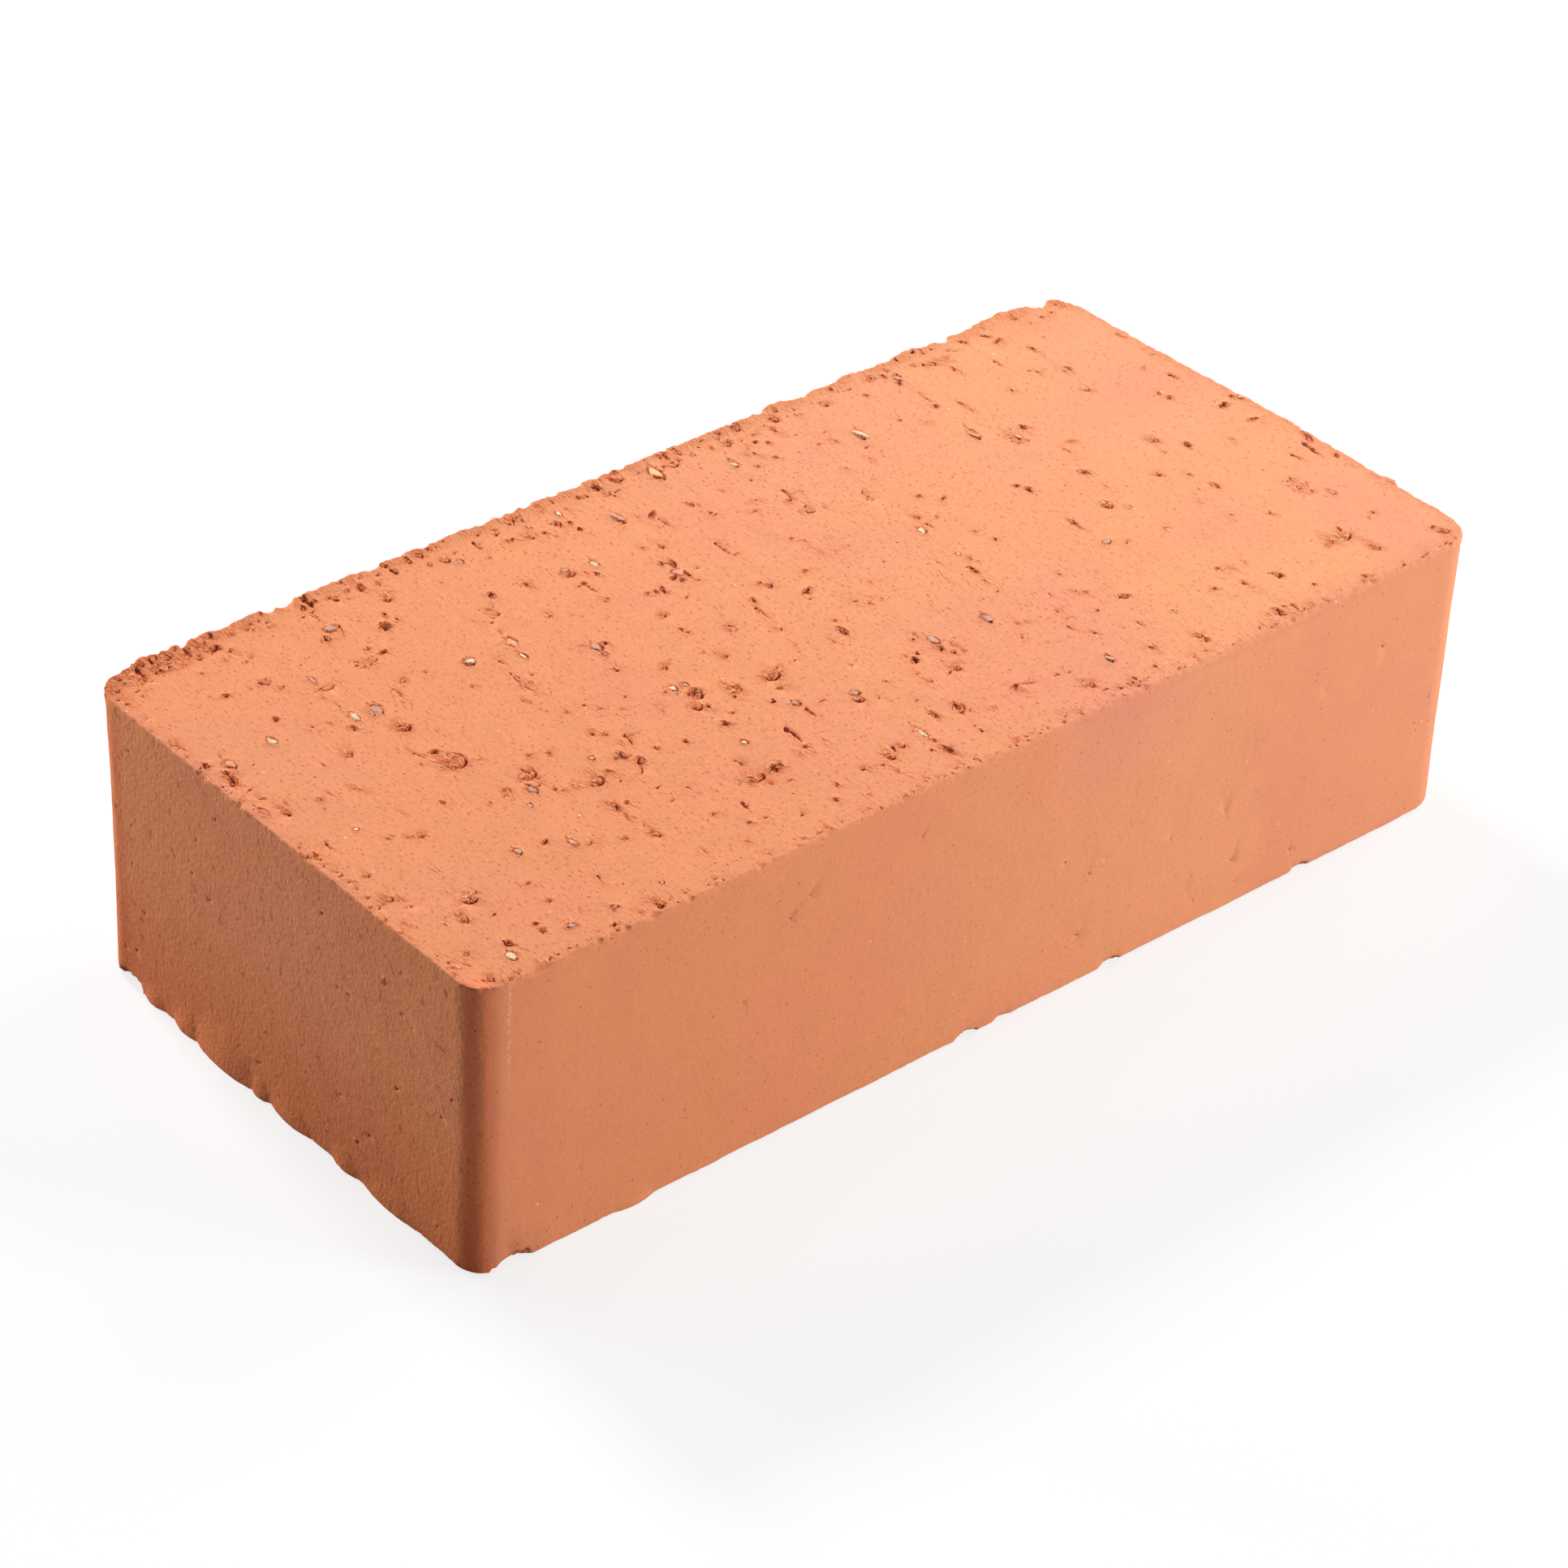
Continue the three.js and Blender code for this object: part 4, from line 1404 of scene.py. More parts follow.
def thin_out(piece: bpy.types.Object, triangles: int) -> None:
    """Merges small faces where the surface is plain, until so many triangles are left.

    Args:
        piece: the mesh object.
        triangles: how many triangles stay.
    """
    share = triangles / triangle_count(piece.data)
    if share >= 1.0:
        return
    thinner = piece.modifiers.new("thinner", "DECIMATE")
    thinner.ratio = share
    evaluated = piece.evaluated_get(bpy.context.evaluated_depsgraph_get())
    slim = bpy.data.meshes.new_from_object(evaluated)
    slim.name = piece.name
    piece.modifiers.clear()
    dense = piece.data
    piece.data = slim
    bpy.data.meshes.remove(dense)
    LOG.info("%s: %d triangles", piece.name, triangle_count(slim))


BLUNTNESS = 36  # power that joins the planes of a grain: the higher, the sharper its edges
SAME_PLACE = 0.001  # points nearer to each other than this are merged, in mm


@dataclass
class Grit:
    """The grains of stone that sit in the beds, joined into one piece.

    Attributes:
        upper: marks of the upper bed.
        lower: marks of the lower bed.
        height: level of the upper bed, in mm.
        seed: starts the run of random numbers.
        planes: cleavage planes of a grain.
        top: normal of its flat top.
        top_cut: distance of the flat top from its middle.
    """

    upper: list[Wound]
    lower: list[Wound]
    height: float
    seed: int = 12
    planes: int = 8
    top: Triple = (0.15, -0.1, 1.0)
    top_cut: float = 0.5

    def grain(self, rng: np.random.Generator, around: int, rows: int) -> tuple[Array, Array]:
        """One grain with a radius of about 1: a ball cut by planes at random distances.

        Along a direction d the radius is the least of c / (d . n) over the planes with normal n
        and distance c, eased so that the edges are blunt.

        Args:
            rng: the random numbers.
            around: points round the grain.
            rows: rows of points from pole to pole.

        Returns:
            The places of its points and the corners of its quads.
        """
        theta = np.linspace(0, math.pi, rows + 1)[:, None]
        phi = np.linspace(0, 2 * math.pi, around, endpoint=False)[None, :]
        out = np.sin(theta)
        ball = np.broadcast_arrays(out * np.cos(phi), out * np.sin(phi), np.cos(theta))
        ball = np.stack(ball, -1)
        normals = rng.normal(size=(self.planes, 3))
        normals[0] = self.top
        normals /= np.linalg.norm(normals, axis=1)[:, None]
        cuts = rng.uniform(0.4, 0.85, self.planes)
        cuts[0] = self.top_cut
        nearness = np.maximum(ball @ normals.T, 0.0) / cuts
        radius = (1.0 + (nearness**BLUNTNESS).sum(-1)) ** (-1 / BLUNTNESS)
        places = (ball * radius[..., None]).reshape(-1, 3)
        places += 0.05 * np.stack([grain_noise(places * 3, 1.0, k) for k in (91, 92, 93)], 1)
        corner = np.arange(rows)[:, None] * around + np.arange(around)[None, :]
        right = np.roll(corner, -1, axis=1)
        quads = np.stack([corner, corner + around, right + around, right], -1).reshape(-1, 4)
        return places, quads

    def build(self) -> bpy.types.Object:
        """All grains in one mesh, each in its seat.

        Returns:
            The object, with the attributes tint, shade and top.
        """
        rng = np.random.default_rng(self.seed)
        places, quads, tints, shades, tops = [], [], [], [], []
        total = 0
        marks = [(mark, True) for mark in self.upper] + [(mark, False) for mark in self.lower]
        for mark, on_top in marks:
            if mark.tint is None:
                continue
            shape, faces = self.grain(rng, *((20, 12) if mark.width > 1.2 else (10, 6)))
            tops.append(shape[:, 2])
            tall = 0.42 * min(mark.width, mark.length) * rng.uniform(0.8, 1.15)
            turn = -math.radians(mark.turn)
            c, s = math.cos(turn), math.sin(turn)
            shape = shape * (mark.width * 0.5, mark.length * 0.5, tall)
            shape = shape @ np.array([[c, s, 0], [-s, c, 0], [0, 0, 1]])
            level = self.height - rng.uniform(-0.05, 0.3) * tall if on_top else tall + 0.15
            places.append(shape + (mark.x, mark.y, level))
            quads.append(faces + total)
            tints.append(np.full(len(shape), mark.tint.value / (len(Tint) - 1)))
            shades.append(np.full(len(shape), rng.random()))
            total += len(shape)
        loops = np.concatenate(quads)
        sizes = np.full(len(loops), 4)
        grit = mesh_object("grit", np.concatenate(places), loops.ravel(), sizes, rounded=False)
        for name, values in (("tint", tints), ("shade", shades), ("top", tops)):
            add_values(grit, name, np.concatenate(values))
        close_poles(grit)
        LOG.info("grit: %d triangles", triangle_count(grit.data))
        return grit


def close_poles(piece: bpy.types.Object) -> None:
    """Merges the points that lie on each other at the poles of the grains.

    Args:
        piece: the mesh object.
    """
    shape = bmesh.new()
    shape.from_mesh(piece.data)
    bmesh.ops.remove_doubles(shape, verts=shape.verts, dist=SAME_PLACE * MM)
    shape.to_mesh(piece.data)
    shape.free()


# --- Finishes ---


BED_EDGE = (0.2, 0.8)  # shares of the bed between which a face's look turns into a bed's


@dataclass
class Wiring:
    """Adds nodes to one tree and joins them.

    Attributes:
        tree: the node tree.
    """

    tree: bpy.types.NodeTree

    def add(self, kind: str, inputs: dict | None = None, **settings: object) -> bpy.types.Node:
        """A new node.

        Args:
            kind: the node's type.
            inputs: a value or a socket for each input, by name or number.
            settings: properties of the node.

        Returns:
            The node.
        """
        node = self.tree.nodes.new(kind)
        for name, value in settings.items():
            setattr(node, name, value)
        for name, value in (inputs or {}).items():
            self.feed(node.inputs[name], value)
        return node

    def feed(self, socket: Socket, value: object) -> None:
        """Sets an input to a value, or joins it to another node's output.

        Args:
            socket: the input.
            value: a number, a colour, a vector or a socket.
        """
        if isinstance(value, Socket):
            self.tree.links.new(value, socket)
        elif isinstance(value, tuple) and len(value) == 3 and socket.type == "RGBA":
            socket.default_value = (*value, 1.0)
        else:
            socket.default_value = value

    def math(self, how: str, a: object, b: object = 0.0) -> Socket:
        """The result of a Math node."""
        return self.add("ShaderNodeMath", {0: a, 1: b}, operation=how).outputs[0]

    def product(self, first: object, *others: object) -> Socket:
        """All the values multiplied together.

        Args:
            first: a socket or a number.
            others: what it is multiplied by.

        Returns:
            The product.
        """
        for other in others:
            first = self.math("MULTIPLY", first, other)
        return first

    def ease(
        self, value: object, low: float, high: float, to_low: float = 0.0, to_high: float = 1.0
    ) -> Socket:
        """A value carried smoothly from one range to another.

        Args:
            value: socket with the value.
            low, high: the range that it comes from.
            to_low, to_high: the range that it goes to.

        Returns:
            The new value.
        """
        ranges = {"From Min": low, "From Max": high, "To Min": to_low, "To Max": to_high}
        wanted = {"Value": value, **ranges}
        node = self.add("ShaderNodeMapRange", wanted, interpolation_type="SMOOTHSTEP")
        return node.outputs["Result"]

    def sides(self, bed: object, on_face: float, on_bed: float) -> Socket:
        """One value on the smooth faces and another on the beds."""
        return self.ease(bed, *BED_EDGE, on_face, on_bed)

    def noise(
        self, places: object, period: float | Triple, detail: float = 0.0, slide: float = 0.0
    ) -> Socket:
        """Noise from 0 to 1 round 0.5.

        Args:
            places: socket with places in mm.
            period: size of a lump in mm, one value or one for each axis.
            detail: how many finer layers there are.
            slide: moves the pattern, so that two noises differ.

        Returns:
            The noise's socket.
        """
        sizes = (period,) * 3 if isinstance(period, (int, float)) else period
        wanted = {"Vector": places, "Scale": tuple(1.0 / size for size in sizes)}
        wanted["Location"] = (slide, 0.7 * slide, -slide)
        moved = self.add("ShaderNodeMapping", wanted).outputs[0]
        wanted = {"Vector": moved, "Scale": 1.0, "Detail": detail}
        return self.add("ShaderNodeTexNoise", wanted).outputs["Fac"]

    def mix(self, share: object, a: object, b: object, how: str = "MIX") -> Socket:
        """Two colours mixed.

        Args:
            share: how much of the second one there is.
            a, b: the colours.
            how: the kind of mixing.

        Returns:
            The mixed colour.
        """
        node = self.add("ShaderNodeMix", data_type="RGBA", blend_type=how)
        for number, value in ((0, share), (6, a), (7, b)):
            self.feed(node.inputs[number], value)
        return node.outputs[2]

    def shade(self, colour: object, lightness: object) -> Socket:
        """A colour multiplied by a lightness."""
        grey = self.add("ShaderNodeCombineColor", dict.fromkeys(range(3), lightness))
        return self.mix(1.0, colour, grey.outputs[0], "MULTIPLY")

    def mask(self, name: str) -> Socket:
        """A value that the mesh carries."""
        return self.add("ShaderNodeAttribute", attribute_name=name).outputs["Fac"]

    def millimetres(self) -> Socket:
        """Object coordinates in mm."""
        places = {0: self.add("ShaderNodeTexCoord").outputs["Object"], "Scale": 1.0 / MM}
        return self.add("ShaderNodeVectorMath", places, operation="SCALE").outputs[0]

    def bump(self, height: object) -> Socket:
        """Normals from a height in mm."""
        wanted = {"Height": height, "Distance": MM, "Strength": 1.0}
        return self.add("ShaderNodeBump", wanted).outputs["Normal"]

    def sand(
        self, group: bpy.types.NodeTree, places: object, size: float, contrast: object
    ) -> tuple[Socket, Socket]:
        """The shared fine grain.

        Args:
            group: its node group.
            places: socket with places in mm.
            size: of a grain, in mm.
            contrast: how much the lightness differs from grain to grain.

        Returns:
            The grain round 0, and the lightness round 1.
        """
        node = self.add("ShaderNodeGroup", node_tree=group)
        for label, value in (("Places", places), ("Size", size), ("Contrast", contrast)):
            self.feed(node.inputs[label], value)
        return node.outputs["Grain"], node.outputs["Lightness"]


def new_material(name: str) -> tuple[bpy.types.Material, Wiring]:
    """An empty node material.

    Args:
        name: its name.

    Returns:
        The material and its wiring.
    """
    look = bpy.data.materials.new(name)
    look.use_nodes = True
    look.node_tree.nodes.clear()
    return look, Wiring(look.node_tree)


def sandy_grain_group() -> bpy.types.NodeTree:
    """Fine grain that clay and stone share: a noise round 0, from -0.5 to 0.5, and a lightness.

    Returns:
        The node group.
    """
    group = bpy.data.node_groups.new("sandy grain", "ShaderNodeTree")
    for label, kind in (("Places", "Vector"), ("Size", "Float"), ("Contrast", "Float")):
        group.interface.new_socket(name=label, in_out="INPUT", socket_type="NodeSocket" + kind)
    for label in ("Grain", "Lightness"):
        group.interface.new_socket(name=label, in_out="OUTPUT", socket_type="NodeSocketFloat")
    w = Wiring(group)
    given = w.add("NodeGroupInput").outputs
    scale = w.math("DIVIDE", 1.0, given["Size"])
    wanted = {"Vector": given["Places"], "Scale": scale, "Detail": 3.0, "Roughness": 0.62}
    grain = w.math("SUBTRACT", w.add("ShaderNodeTexNoise", wanted).outputs["Fac"], 0.5)
    lightness = w.math("ADD", w.math("MULTIPLY", grain, given["Contrast"]), 1.0)
    w.add("NodeGroupOutput", {"Grain": grain, "Lightness": lightness})
    return group


RIGHT_END = (20.0, 100.0)  # stretch along X over which the clay gets smoother


@dataclass(frozen=True)
class ClayFinish:
    """Fired clay: sandy torn beds, denser faces, dark red cuts in painted shade and scattered
    specks.

    Attributes:
        left, right: colour of the bed at the two ends.
        skin: what the faces' colour is multiplied by.
        header: what that of the headers is multiplied by besides.
        dark_clay_and_shade: clay that a cut lays open, drawn darker as painted shade of the cut's
            hollow.
        flake: painted highlight, pale where crumbs round a cut and on worn arrises catch the light.
        sore: clay round a cut.
        scratch: the faint dashes all over, and the crumbs of the arrises.
        soot: dark specks.
        chalk: pale specks, and the salt line.
        roughness: of the clay.
        gloss: its specular level.
        grain_size: size of its fine grain, in mm.
        salt_line: place of the salt line along X, in mm.
    """

    left: Colour = fired(243, 156, 111)
    right: Colour = fired(248, 168, 125)
    skin: Colour = (0.97, 0.93, 0.89)
    header: Colour = (0.98, 0.97, 0.92)
    dark_clay_and_shade: Colour = fired(160, 58, 26)
    flake: Colour = fired(254, 196, 152)
    sore: Colour = fired(230, 114, 60)
    scratch: Colour = fired(208, 96, 50)
    soot: Colour = fired(140, 68, 38)
    chalk: Colour = fired(250, 222, 190)
    roughness: float = 0.92
    gloss: float = 0.2
    grain_size: float = 0.9
    salt_line: float = -117.8

    def material(self, grain: bpy.types.NodeTree) -> bpy.types.Material:
        """The node material.

        Args:
            grain: the group of fine grain.

        Returns:
            The material.
        """
        clay, w = new_material("fired clay")
        places = w.millimetres()
        x, y, z = w.add("ShaderNodeSeparateXYZ", {0: places}).outputs
        masks = ("bed", "torn", "sore", "worn", "header")
        bed, torn, sore, worn, header = (w.mask(name) for name in masks)
        calm = w.ease(x, *RIGHT_END, 1.0, 0.6)
        contrast = w.product(w.sides(bed, 0.16, 0.24), calm)
        fine, sandy = w.sand(grain, places, self.grain_size, contrast)

        colour = w.mix(w.ease(x, -100.0, 110.0), self.left, self.right)
        tone = w.add("ShaderNodeAttribute", attribute_name="tone").outputs["Color"]
        colour = w.mix(1.0, colour, tone, "MULTIPLY")
        colour = w.mix(w.sides(bed, 1.0, 0.0), colour, self.skin, "MULTIPLY")
        colour = w.mix(header, colour, self.header, "MULTIPLY")
        streaks = self.streaks(w, places, bed)
        lined = w.product(w.math("SUBTRACT", streaks, 0.5), w.sides(bed, 0.03, 0.09))
        lightness = w.product(sandy, w.math("ADD", lined, 1.0))
        jag, line = self.cracks(w, places, bed)
        colour = w.shade(colour, w.product(lightness, w.ease(jag, -0.25, 0.25, 0.985, 1.015)))
        patchy = w.noise(places, (1.4, 1.4, 2.2), 1.0, slide=13.0)
        spots = w.product(w.ease(patchy, 0.62, 0.76, 0.0, 0.45), w.ease(x, *RIGHT_END, 1.0, 0.3))
        colour = w.mix(w.product(header, spots), colour, self.dark_clay_and_shade)
        drawn = self.drawn(w, places, bed, (3.6, 0.7, 3.6), (2.6, 2.6, 1.3))
        drag = w.noise(drawn, 1.0, 1.0, slide=21.0)
        shown = w.math("ADD", w.sides(bed, 0.35, 0.95), w.product(header, 0.35))
        faint = w.product(w.ease(drag, 0.645, 0.72), shown, calm)
        colour = w.mix(faint, colour, self.scratch)
        hurt = w.product(sore, w.sides(bed, 0.0, 1.0))
        colour = w.mix(w.product(hurt, w.ease(jag, -0.12, 0.1, 0.75, 0.25)), colour, self.sore)
        # Painted highlight: pale flecks round the cuts where broken clay would catch the light.
        colour = w.mix(w.product(hurt, w.ease(jag, 0.08, 0.2, 0.0, 0.6)), colour, self.flake)
        # Cuts, their broken edges and thin lines round them drawn dark red: open clay, partly
        # painted shade.
        edged = w.math("ADD", torn, w.product(jag, 2.4))
        patches = w.ease(patchy, 0.42, 0.58, 0.0, 0.7)
        sorely = w.product(line, w.ease(hurt, 0.4, 0.9), patches, calm)
        cut_and_shade = w.math("MAXIMUM", w.ease(edged, 0.4, 0.95, 0.0, 0.92), sorely)
        colour = w.mix(cut_and_shade, colour, self.dark_clay_and_shade)
        crumb = w.product(worn, w.ease(fine, -0.1, 0.1, 0.1, 0.6))
        colour = w.mix(crumb, colour, self.scratch)
        # Painted highlight: pale crumbs on the worn arrises.
        colour = w.mix(w.product(worn, w.ease(fine, -0.12, -0.22, 0.0, 0.45)), colour, self.flake)
        dark, pale = self.specks(w, places, fine, w.sides(bed, 0.6, 1.0))
        colour = w.mix(dark, colour, self.soot)
        colour = w.mix(w.math("MAXIMUM", pale, self.bloom(w, x, y, z, fine)), colour, self.chalk)

        sharp = w.math("ADD", w.sides(bed, 0.03, 0.1), w.product(header, 0.22))
        sharp = w.product(sharp, calm)
        height = w.math("ADD", w.product(fine, sharp), w.product(lined, 0.25))
        broken = w.product(jag, w.math("ADD", w.product(hurt, 0.8), w.sides(bed, 0.01, 0.025)))
        cut = w.math("ADD", w.product(faint, w.sides(bed, 0.004, 0.03)), w.product(sorely, 0.1))
        height = w.math("SUBTRACT", w.math("ADD", height, broken), cut)
        shader = w.add("ShaderNodeBsdfPrincipled", {"Base Color": colour, "Normal": w.bump(height)})
        rough = w.ease(fine, -0.2, 0.2, self.roughness - 0.05, self.roughness + 0.04)
        w.feed(shader.inputs["Roughness"], rough)
        shader.inputs["Specular IOR Level"].default_value = self.gloss
        w.add("ShaderNodeOutputMaterial", {"Surface": shader.outputs[0]})
        return clay

    def drawn(
        self, w: Wiring, places: object, bed: object, on_bed: Triple, on_face: Triple
    ) -> Socket:
        """Places squeezed along the travel of the clay: along Y on the beds, upright on the faces.

        Args:
            w: the material's wiring.
            places: socket with places in mm.
            bed: socket with the share of the bed.
            on_bed, on_face: what each coordinate is multiplied by.

        Returns:
            The squeezed places.
        """
        scale = w.add("ShaderNodeMix", data_type="VECTOR")
        for number, value in ((0, w.math("GREATER_THAN", bed, 0.5)), (4, on_face), (5, on_bed)):
            w.feed(scale.inputs[number], value)
        factors = {0: places, 1: scale.outputs[1]}
        return w.add("ShaderNodeVectorMath", factors, operation="MULTIPLY").outputs[0]

    def streaks(self, w: Wiring, places: object, bed: object) -> Socket:
        """Fine lines along the travel of the clay, a noise from 0 to 1."""
        drawn = self.drawn(w, places, bed, (1.25, 0.08, 0.08), (1.4, 1.4, 0.09))
        return w.noise(drawn, 1.0, 1.0, slide=5.0)

    def cracks(self, w: Wiring, places: object, bed: object) -> tuple[Socket, Socket]:
        """Broken clay: a sharp noise, and the thin bent lines where it crosses its middle value.

        Args:
            w: the material's wiring.
            places: socket with places in mm.
            bed: socket with the share of the bed.

        Returns:
            The noise round 0, and the mask of the lines.
        """
        drawn = self.drawn(w, places, bed, (1.9, 0.75, 1.9), (1.8, 1.8, 1.0))
        jag = w.math("SUBTRACT", w.noise(drawn, 1.0, 1.0, slide=12.0), 0.5)
        return jag, w.ease(w.math("ABSOLUTE", jag), 0.01, 0.06, 1.0, 0.0)

    def specks(
        self, w: Wiring, places: object, fine: object, strength: object
    ) -> tuple[Socket, Socket]:
        """Scattered specks: small balls round the points of a cell pattern, in a few of the cells.

        Args:
            w: the material's wiring.
            places: socket with places in mm.
            fine: socket with the fine grain.
            strength: socket with the strength of the dark ones.

        Returns:
            The masks of the dark and of the pale specks.
        """
        cells = w.add("ShaderNodeTexVoronoi", {"Vector": places, "Scale": 0.45})
        distance = w.math("ADD", cells.outputs["Distance"], w.product(fine, 0.3))
        chance = w.add("ShaderNodeSeparateColor", {0: cells.outputs["Color"]}).outputs[0]
        ball = w.ease(distance, 0.06, 0.14, 0.8, 0.0)
        dark = w.product(ball, w.math("GREATER_THAN", chance, 0.94), strength)
        return dark, w.product(ball, w.math("LESS_THAN", chance, 0.025))

    def bloom(self, w: Wiring, x: object, y: object, z: object, fine: object) -> Socket:
        """The pale salt line down the near left corner: a thin upright line, broken into dots.

        Args:
            w: the material's wiring.
            x, y, z: sockets with the coordinates in mm.
            fine: socket with the fine grain.

        Returns:
            The line's mask.
        """
        off = w.math("ABSOLUTE", w.math("ADD", x, -self.salt_line))
        line = w.ease(w.math("ADD", off, w.product(fine, 4.0)), -0.1, 0.4, 1.0, 0.0)
        return w.product(line, w.ease(z, 34.0, 56.0), w.ease(y, -59.0, -58.0, 0.3, 0.0))


@dataclass(frozen=True)
class GritFinish:
    """Broken stone in six tints, with clay on all but its tops.

    Attributes:
        tints: colour of each tint, in the order of Tint.
        dust: the clay on it.
        gloss: specular level of the stone.
        grain_size: size of its fine grain, in mm.
        contrast: how much its lightness differs from grain to grain.
    """

    tints: tuple[Colour, ...] = (
        fired(252, 228, 192),
        fired(250, 202, 152),
        fired(224, 178, 152),
        fired(242, 174, 140),
        fired(226, 136, 92),
        fired(208, 164, 142),
    )
    dust: Colour = fired(230, 138, 92)
    gloss: float = 0.3
    grain_size: float = 0.7
    contrast: float = 0.6

    def material(self, grain: bpy.types.NodeTree) -> bpy.types.Material:
        """The node material.

        Args:
            grain: the group of fine grain.

        Returns:
            The material.
        """
        look, w = new_material("grit stone")
        ramp = w.add("ShaderNodeValToRGB", {"Fac": w.mask("tint")})
        stops = ramp.color_ramp.elements
        while len(stops) < len(self.tints):
            stops.new(0.5)
        for number, (stop, tint) in enumerate(zip(stops, self.tints)):
            stop.position = number / (len(self.tints) - 1)
            stop.color = (*tint, 1.0)
        fine, sandy = w.sand(grain, w.millimetres(), self.grain_size, self.contrast)
        colour = w.shade(ramp.outputs["Color"], w.ease(w.mask("shade"), 0.0, 1.0, 0.9, 1.1))
        bare = w.math("ADD", w.mask("top"), w.product(fine, 3.0))
        dusty = w.ease(bare, -0.3, 0.4, 0.95, 0.12)
        colour = w.shade(w.mix(dusty, colour, self.dust), sandy)
        normal = w.bump(w.product(fine, 0.3))
        shader = w.add("ShaderNodeBsdfPrincipled", {"Base Color": colour, "Normal": normal})
        w.feed(shader.inputs["Roughness"], w.ease(dusty, 0.15, 0.8, 0.65, 0.92))
        shader.inputs["Specular IOR Level"].default_value = self.gloss
        w.add("ShaderNodeOutputMaterial", {"Surface": shader.outputs[0]})
        return look


# --- Studio ---


WHITE = (1.0, 1.0, 1.0)
CLIP = (0.05, 50.0)  # nearest and farthest distance that the camera sees, in metres


@dataclass(frozen=True)
class Lamp:
    """One soft lamp, aimed at the middle of the brick.

    Attributes:
        name: its name.
        place: where it stands, in metres.
        size: side of its square face, in metres.
        power: in watts.
    """

    name: str
    place: Triple
    size: float
    power: float

    def light(self, target: Vector) -> None:
        """Hangs the lamp.

        Args:
            target: the point that it faces.
        """
        data = bpy.data.lights.new(self.name, "AREA")
        data.shape = "SQUARE"
        data.size = self.size
        data.energy = self.power
        lamp = bpy.data.objects.new(self.name, data)
        lamp.location = self.place
        lamp.rotation_mode = "QUATERNION"
        lamp.rotation_quaternion = (target - Vector(self.place)).to_track_quat("-Z", "Y")
        bpy.context.scene.collection.objects.link(lamp)


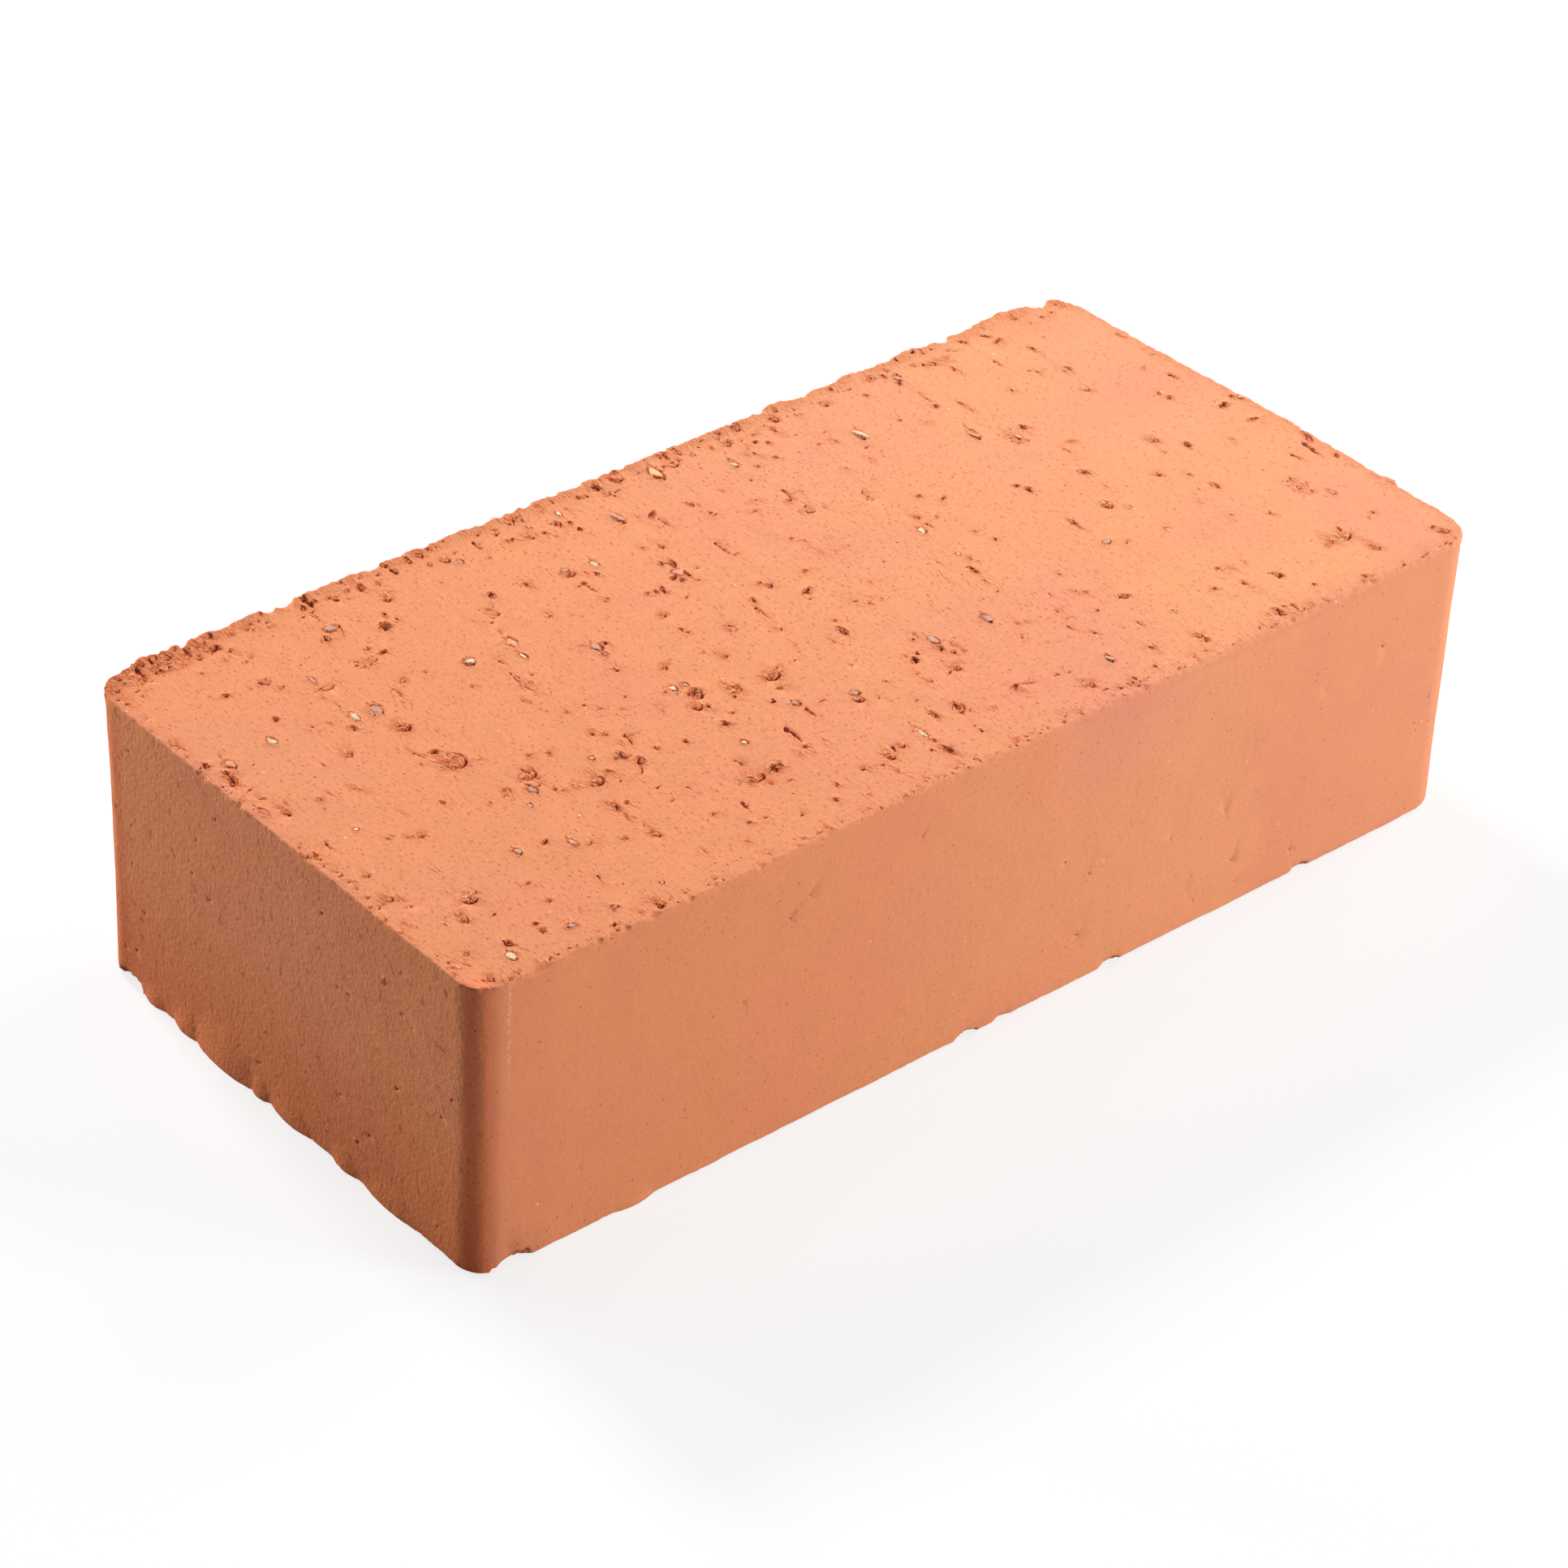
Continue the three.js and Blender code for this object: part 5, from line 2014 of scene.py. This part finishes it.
@dataclass
class Studio:
    """A pale floor, a white surround, soft lamps and the camera.

    Attributes:
        lamps: the lamps.
        ambient: strength of the surround on the object.
        floor_size: side of the floor, in metres.
        floor_tone: how much light the floor throws back on the object.
        shadow_share: how much of the floor's shadow the camera sees.
        shadow_edge: distances from the middle between which the shadow fades out, in mm.
        glow: how bright the floor shows without a shadow; above 1, so that it stays white.
        target: point that the lamps face, in metres.
        eye: the camera's place, in mm.
        azimuth, elevation, roll: the camera's angles, in degrees.
        lens: focal length, in mm.
        sensor: width of the sensor, in mm.
    """

    lamps: tuple[Lamp, ...] = (
        Lamp("key", (0.0, 1.635, 1.472), 0.4, 32.5),
        Lamp("front", (0.774, -0.99, 0.337), 0.5, 13.9),
        Lamp("side", (-0.417, 0.784, 0.156), 0.3, 6.3),
        Lamp("end", (0.849, 0.0, 0.849), 0.6, 5.5),
    )
    ambient: float = 0.06
    floor_size: float = 16.0
    floor_tone: float = 0.4
    shadow_share: float = 0.25
    shadow_edge: tuple[float, float] = (450.0, 880.0)
    glow: float = 1.02
    target: Triple = (0.0, 0.0, 0.03)
    eye: Triple = (-530.09, -593.28, 585.91)
    azimuth: float = -41.586
    elevation: float = 35.306
    roll: float = 2.732
    lens: float = 113.08
    sensor: float = 36.0

    def build(self) -> None:
        """Sets up the surround, the floor, the lamps and the camera."""
        bpy.context.scene.view_settings.view_transform = "Standard"
        self.surround()
        self.floor()
        for lamp in self.lamps:
            lamp.light(Vector(self.target))
        self.camera()

    def surround(self) -> None:
        """A world that is white where it is seen and softer as light."""
        world = bpy.data.worlds.new("surround")
        world.use_nodes = True
        world.node_tree.nodes.clear()
        w = Wiring(world.node_tree)
        path = w.add("ShaderNodeLightPath").outputs
        mirrored = w.math("MAXIMUM", path["Is Glossy Ray"], path["Is Transmission Ray"])
        seen = w.math("MAXIMUM", path["Is Camera Ray"], mirrored)
        strength = w.math("ADD", w.math("MULTIPLY", seen, 1.0 - self.ambient), self.ambient)
        sky = w.add("ShaderNodeBackground", {"Color": WHITE, "Strength": strength})
        w.add("ShaderNodeOutputWorld", {"Surface": sky.outputs[0]})
        bpy.context.scene.world = world

    def floor(self) -> None:
        """A floor that shows white with a faint shadow, and isn't seen from below."""
        half = self.floor_size / 2 / MM
        corners = half * np.array([(-1, -1, 0), (1, -1, 0), (1, 1, 0), (-1, 1, 0)])
        floor = mesh_object("floor", corners, np.arange(4), np.array([4]))
        look, w = new_material("pale floor")
        path = w.add("ShaderNodeLightPath").outputs
        plain = w.add("ShaderNodeBsdfDiffuse", {"Color": (self.floor_tone,) * 3})
        places = w.millimetres()
        away = w.add("ShaderNodeVectorMath", {0: places}, operation="LENGTH").outputs["Value"]
        share = w.ease(away, *self.shadow_edge, self.shadow_share, 0.0)
        shade = w.add("ShaderNodeBsdfDiffuse", {"Color": w.shade(WHITE, share)}).outputs[0]
        strength = w.math("SUBTRACT", self.glow, share)
        glow = w.add("ShaderNodeEmission", {"Color": WHITE, "Strength": strength}).outputs[0]
        shown = w.add("ShaderNodeAddShader", {0: shade, 1: glow}).outputs[0]
        chosen = {0: path["Is Camera Ray"], 1: plain.outputs[0], 2: shown}
        mixed = w.add("ShaderNodeMixShader", chosen)
        clear = w.add("ShaderNodeBsdfTransparent")
        back = w.add("ShaderNodeNewGeometry").outputs["Backfacing"]
        hidden = w.math("MULTIPLY", back, path["Is Camera Ray"])
        both = w.add("ShaderNodeMixShader", {0: hidden, 1: mixed.outputs[0], 2: clear.outputs[0]})
        w.add("ShaderNodeOutputMaterial", {"Surface": both.outputs[0]})
        floor.data.materials.append(look)

    def camera(self) -> None:
        """Stands the camera at its eye point, turned by its three angles."""
        a, e, r = (math.radians(v) for v in (self.azimuth, self.elevation, self.roll))
        back = Vector((math.sin(a) * math.cos(e), -math.cos(a) * math.cos(e), math.sin(e)))
        level = Vector((math.cos(a), math.sin(a), 0.0))
        above = back.cross(level)
        right = math.cos(r) * level + math.sin(r) * above
        up = -math.sin(r) * level + math.cos(r) * above
        data = bpy.data.cameras.new("camera")
        data.lens = self.lens
        data.sensor_width = self.sensor
        data.clip_start, data.clip_end = CLIP
        camera = bpy.data.objects.new("camera", data)
        turn = Matrix((right, up, back)).transposed().to_4x4()
        camera.matrix_world = Matrix.Translation(Vector(self.eye) * MM) @ turn
        bpy.context.scene.collection.objects.link(camera)
        bpy.context.scene.camera = camera


def dress(piece: bpy.types.Object, look: bpy.types.Material) -> None:
    """Gives a piece its finish, and ties it to the frame.

    Args:
        piece: the finished object.
        look: its material.
    """
    piece.data.materials.clear()
    piece.data.materials.append(look)
    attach(piece, BODY)
    LOG.info("%s rides on %s", piece.name, BODY)


def main() -> None:
    """Builds the brick, its grit and the studio."""
    logging.basicConfig(level=logging.INFO, format="%(message)s")
    low, high = (np.array(corner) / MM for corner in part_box(NODE))
    length, width, height = (float(v) for v in high - low)
    grain = sandy_grain_group()

    body = FiredBrick(length, width, height, cell=FINE_CELL)
    brick = body.build()
    dress(brick, ClayFinish().material(grain))
    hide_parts(NODE)

    grit = Grit(body.upper_marks, body.lower_marks, height).build()
    dress(grit, GritFinish().material(grain))

    Studio().build()


if __name__ == "__main__":
    main()
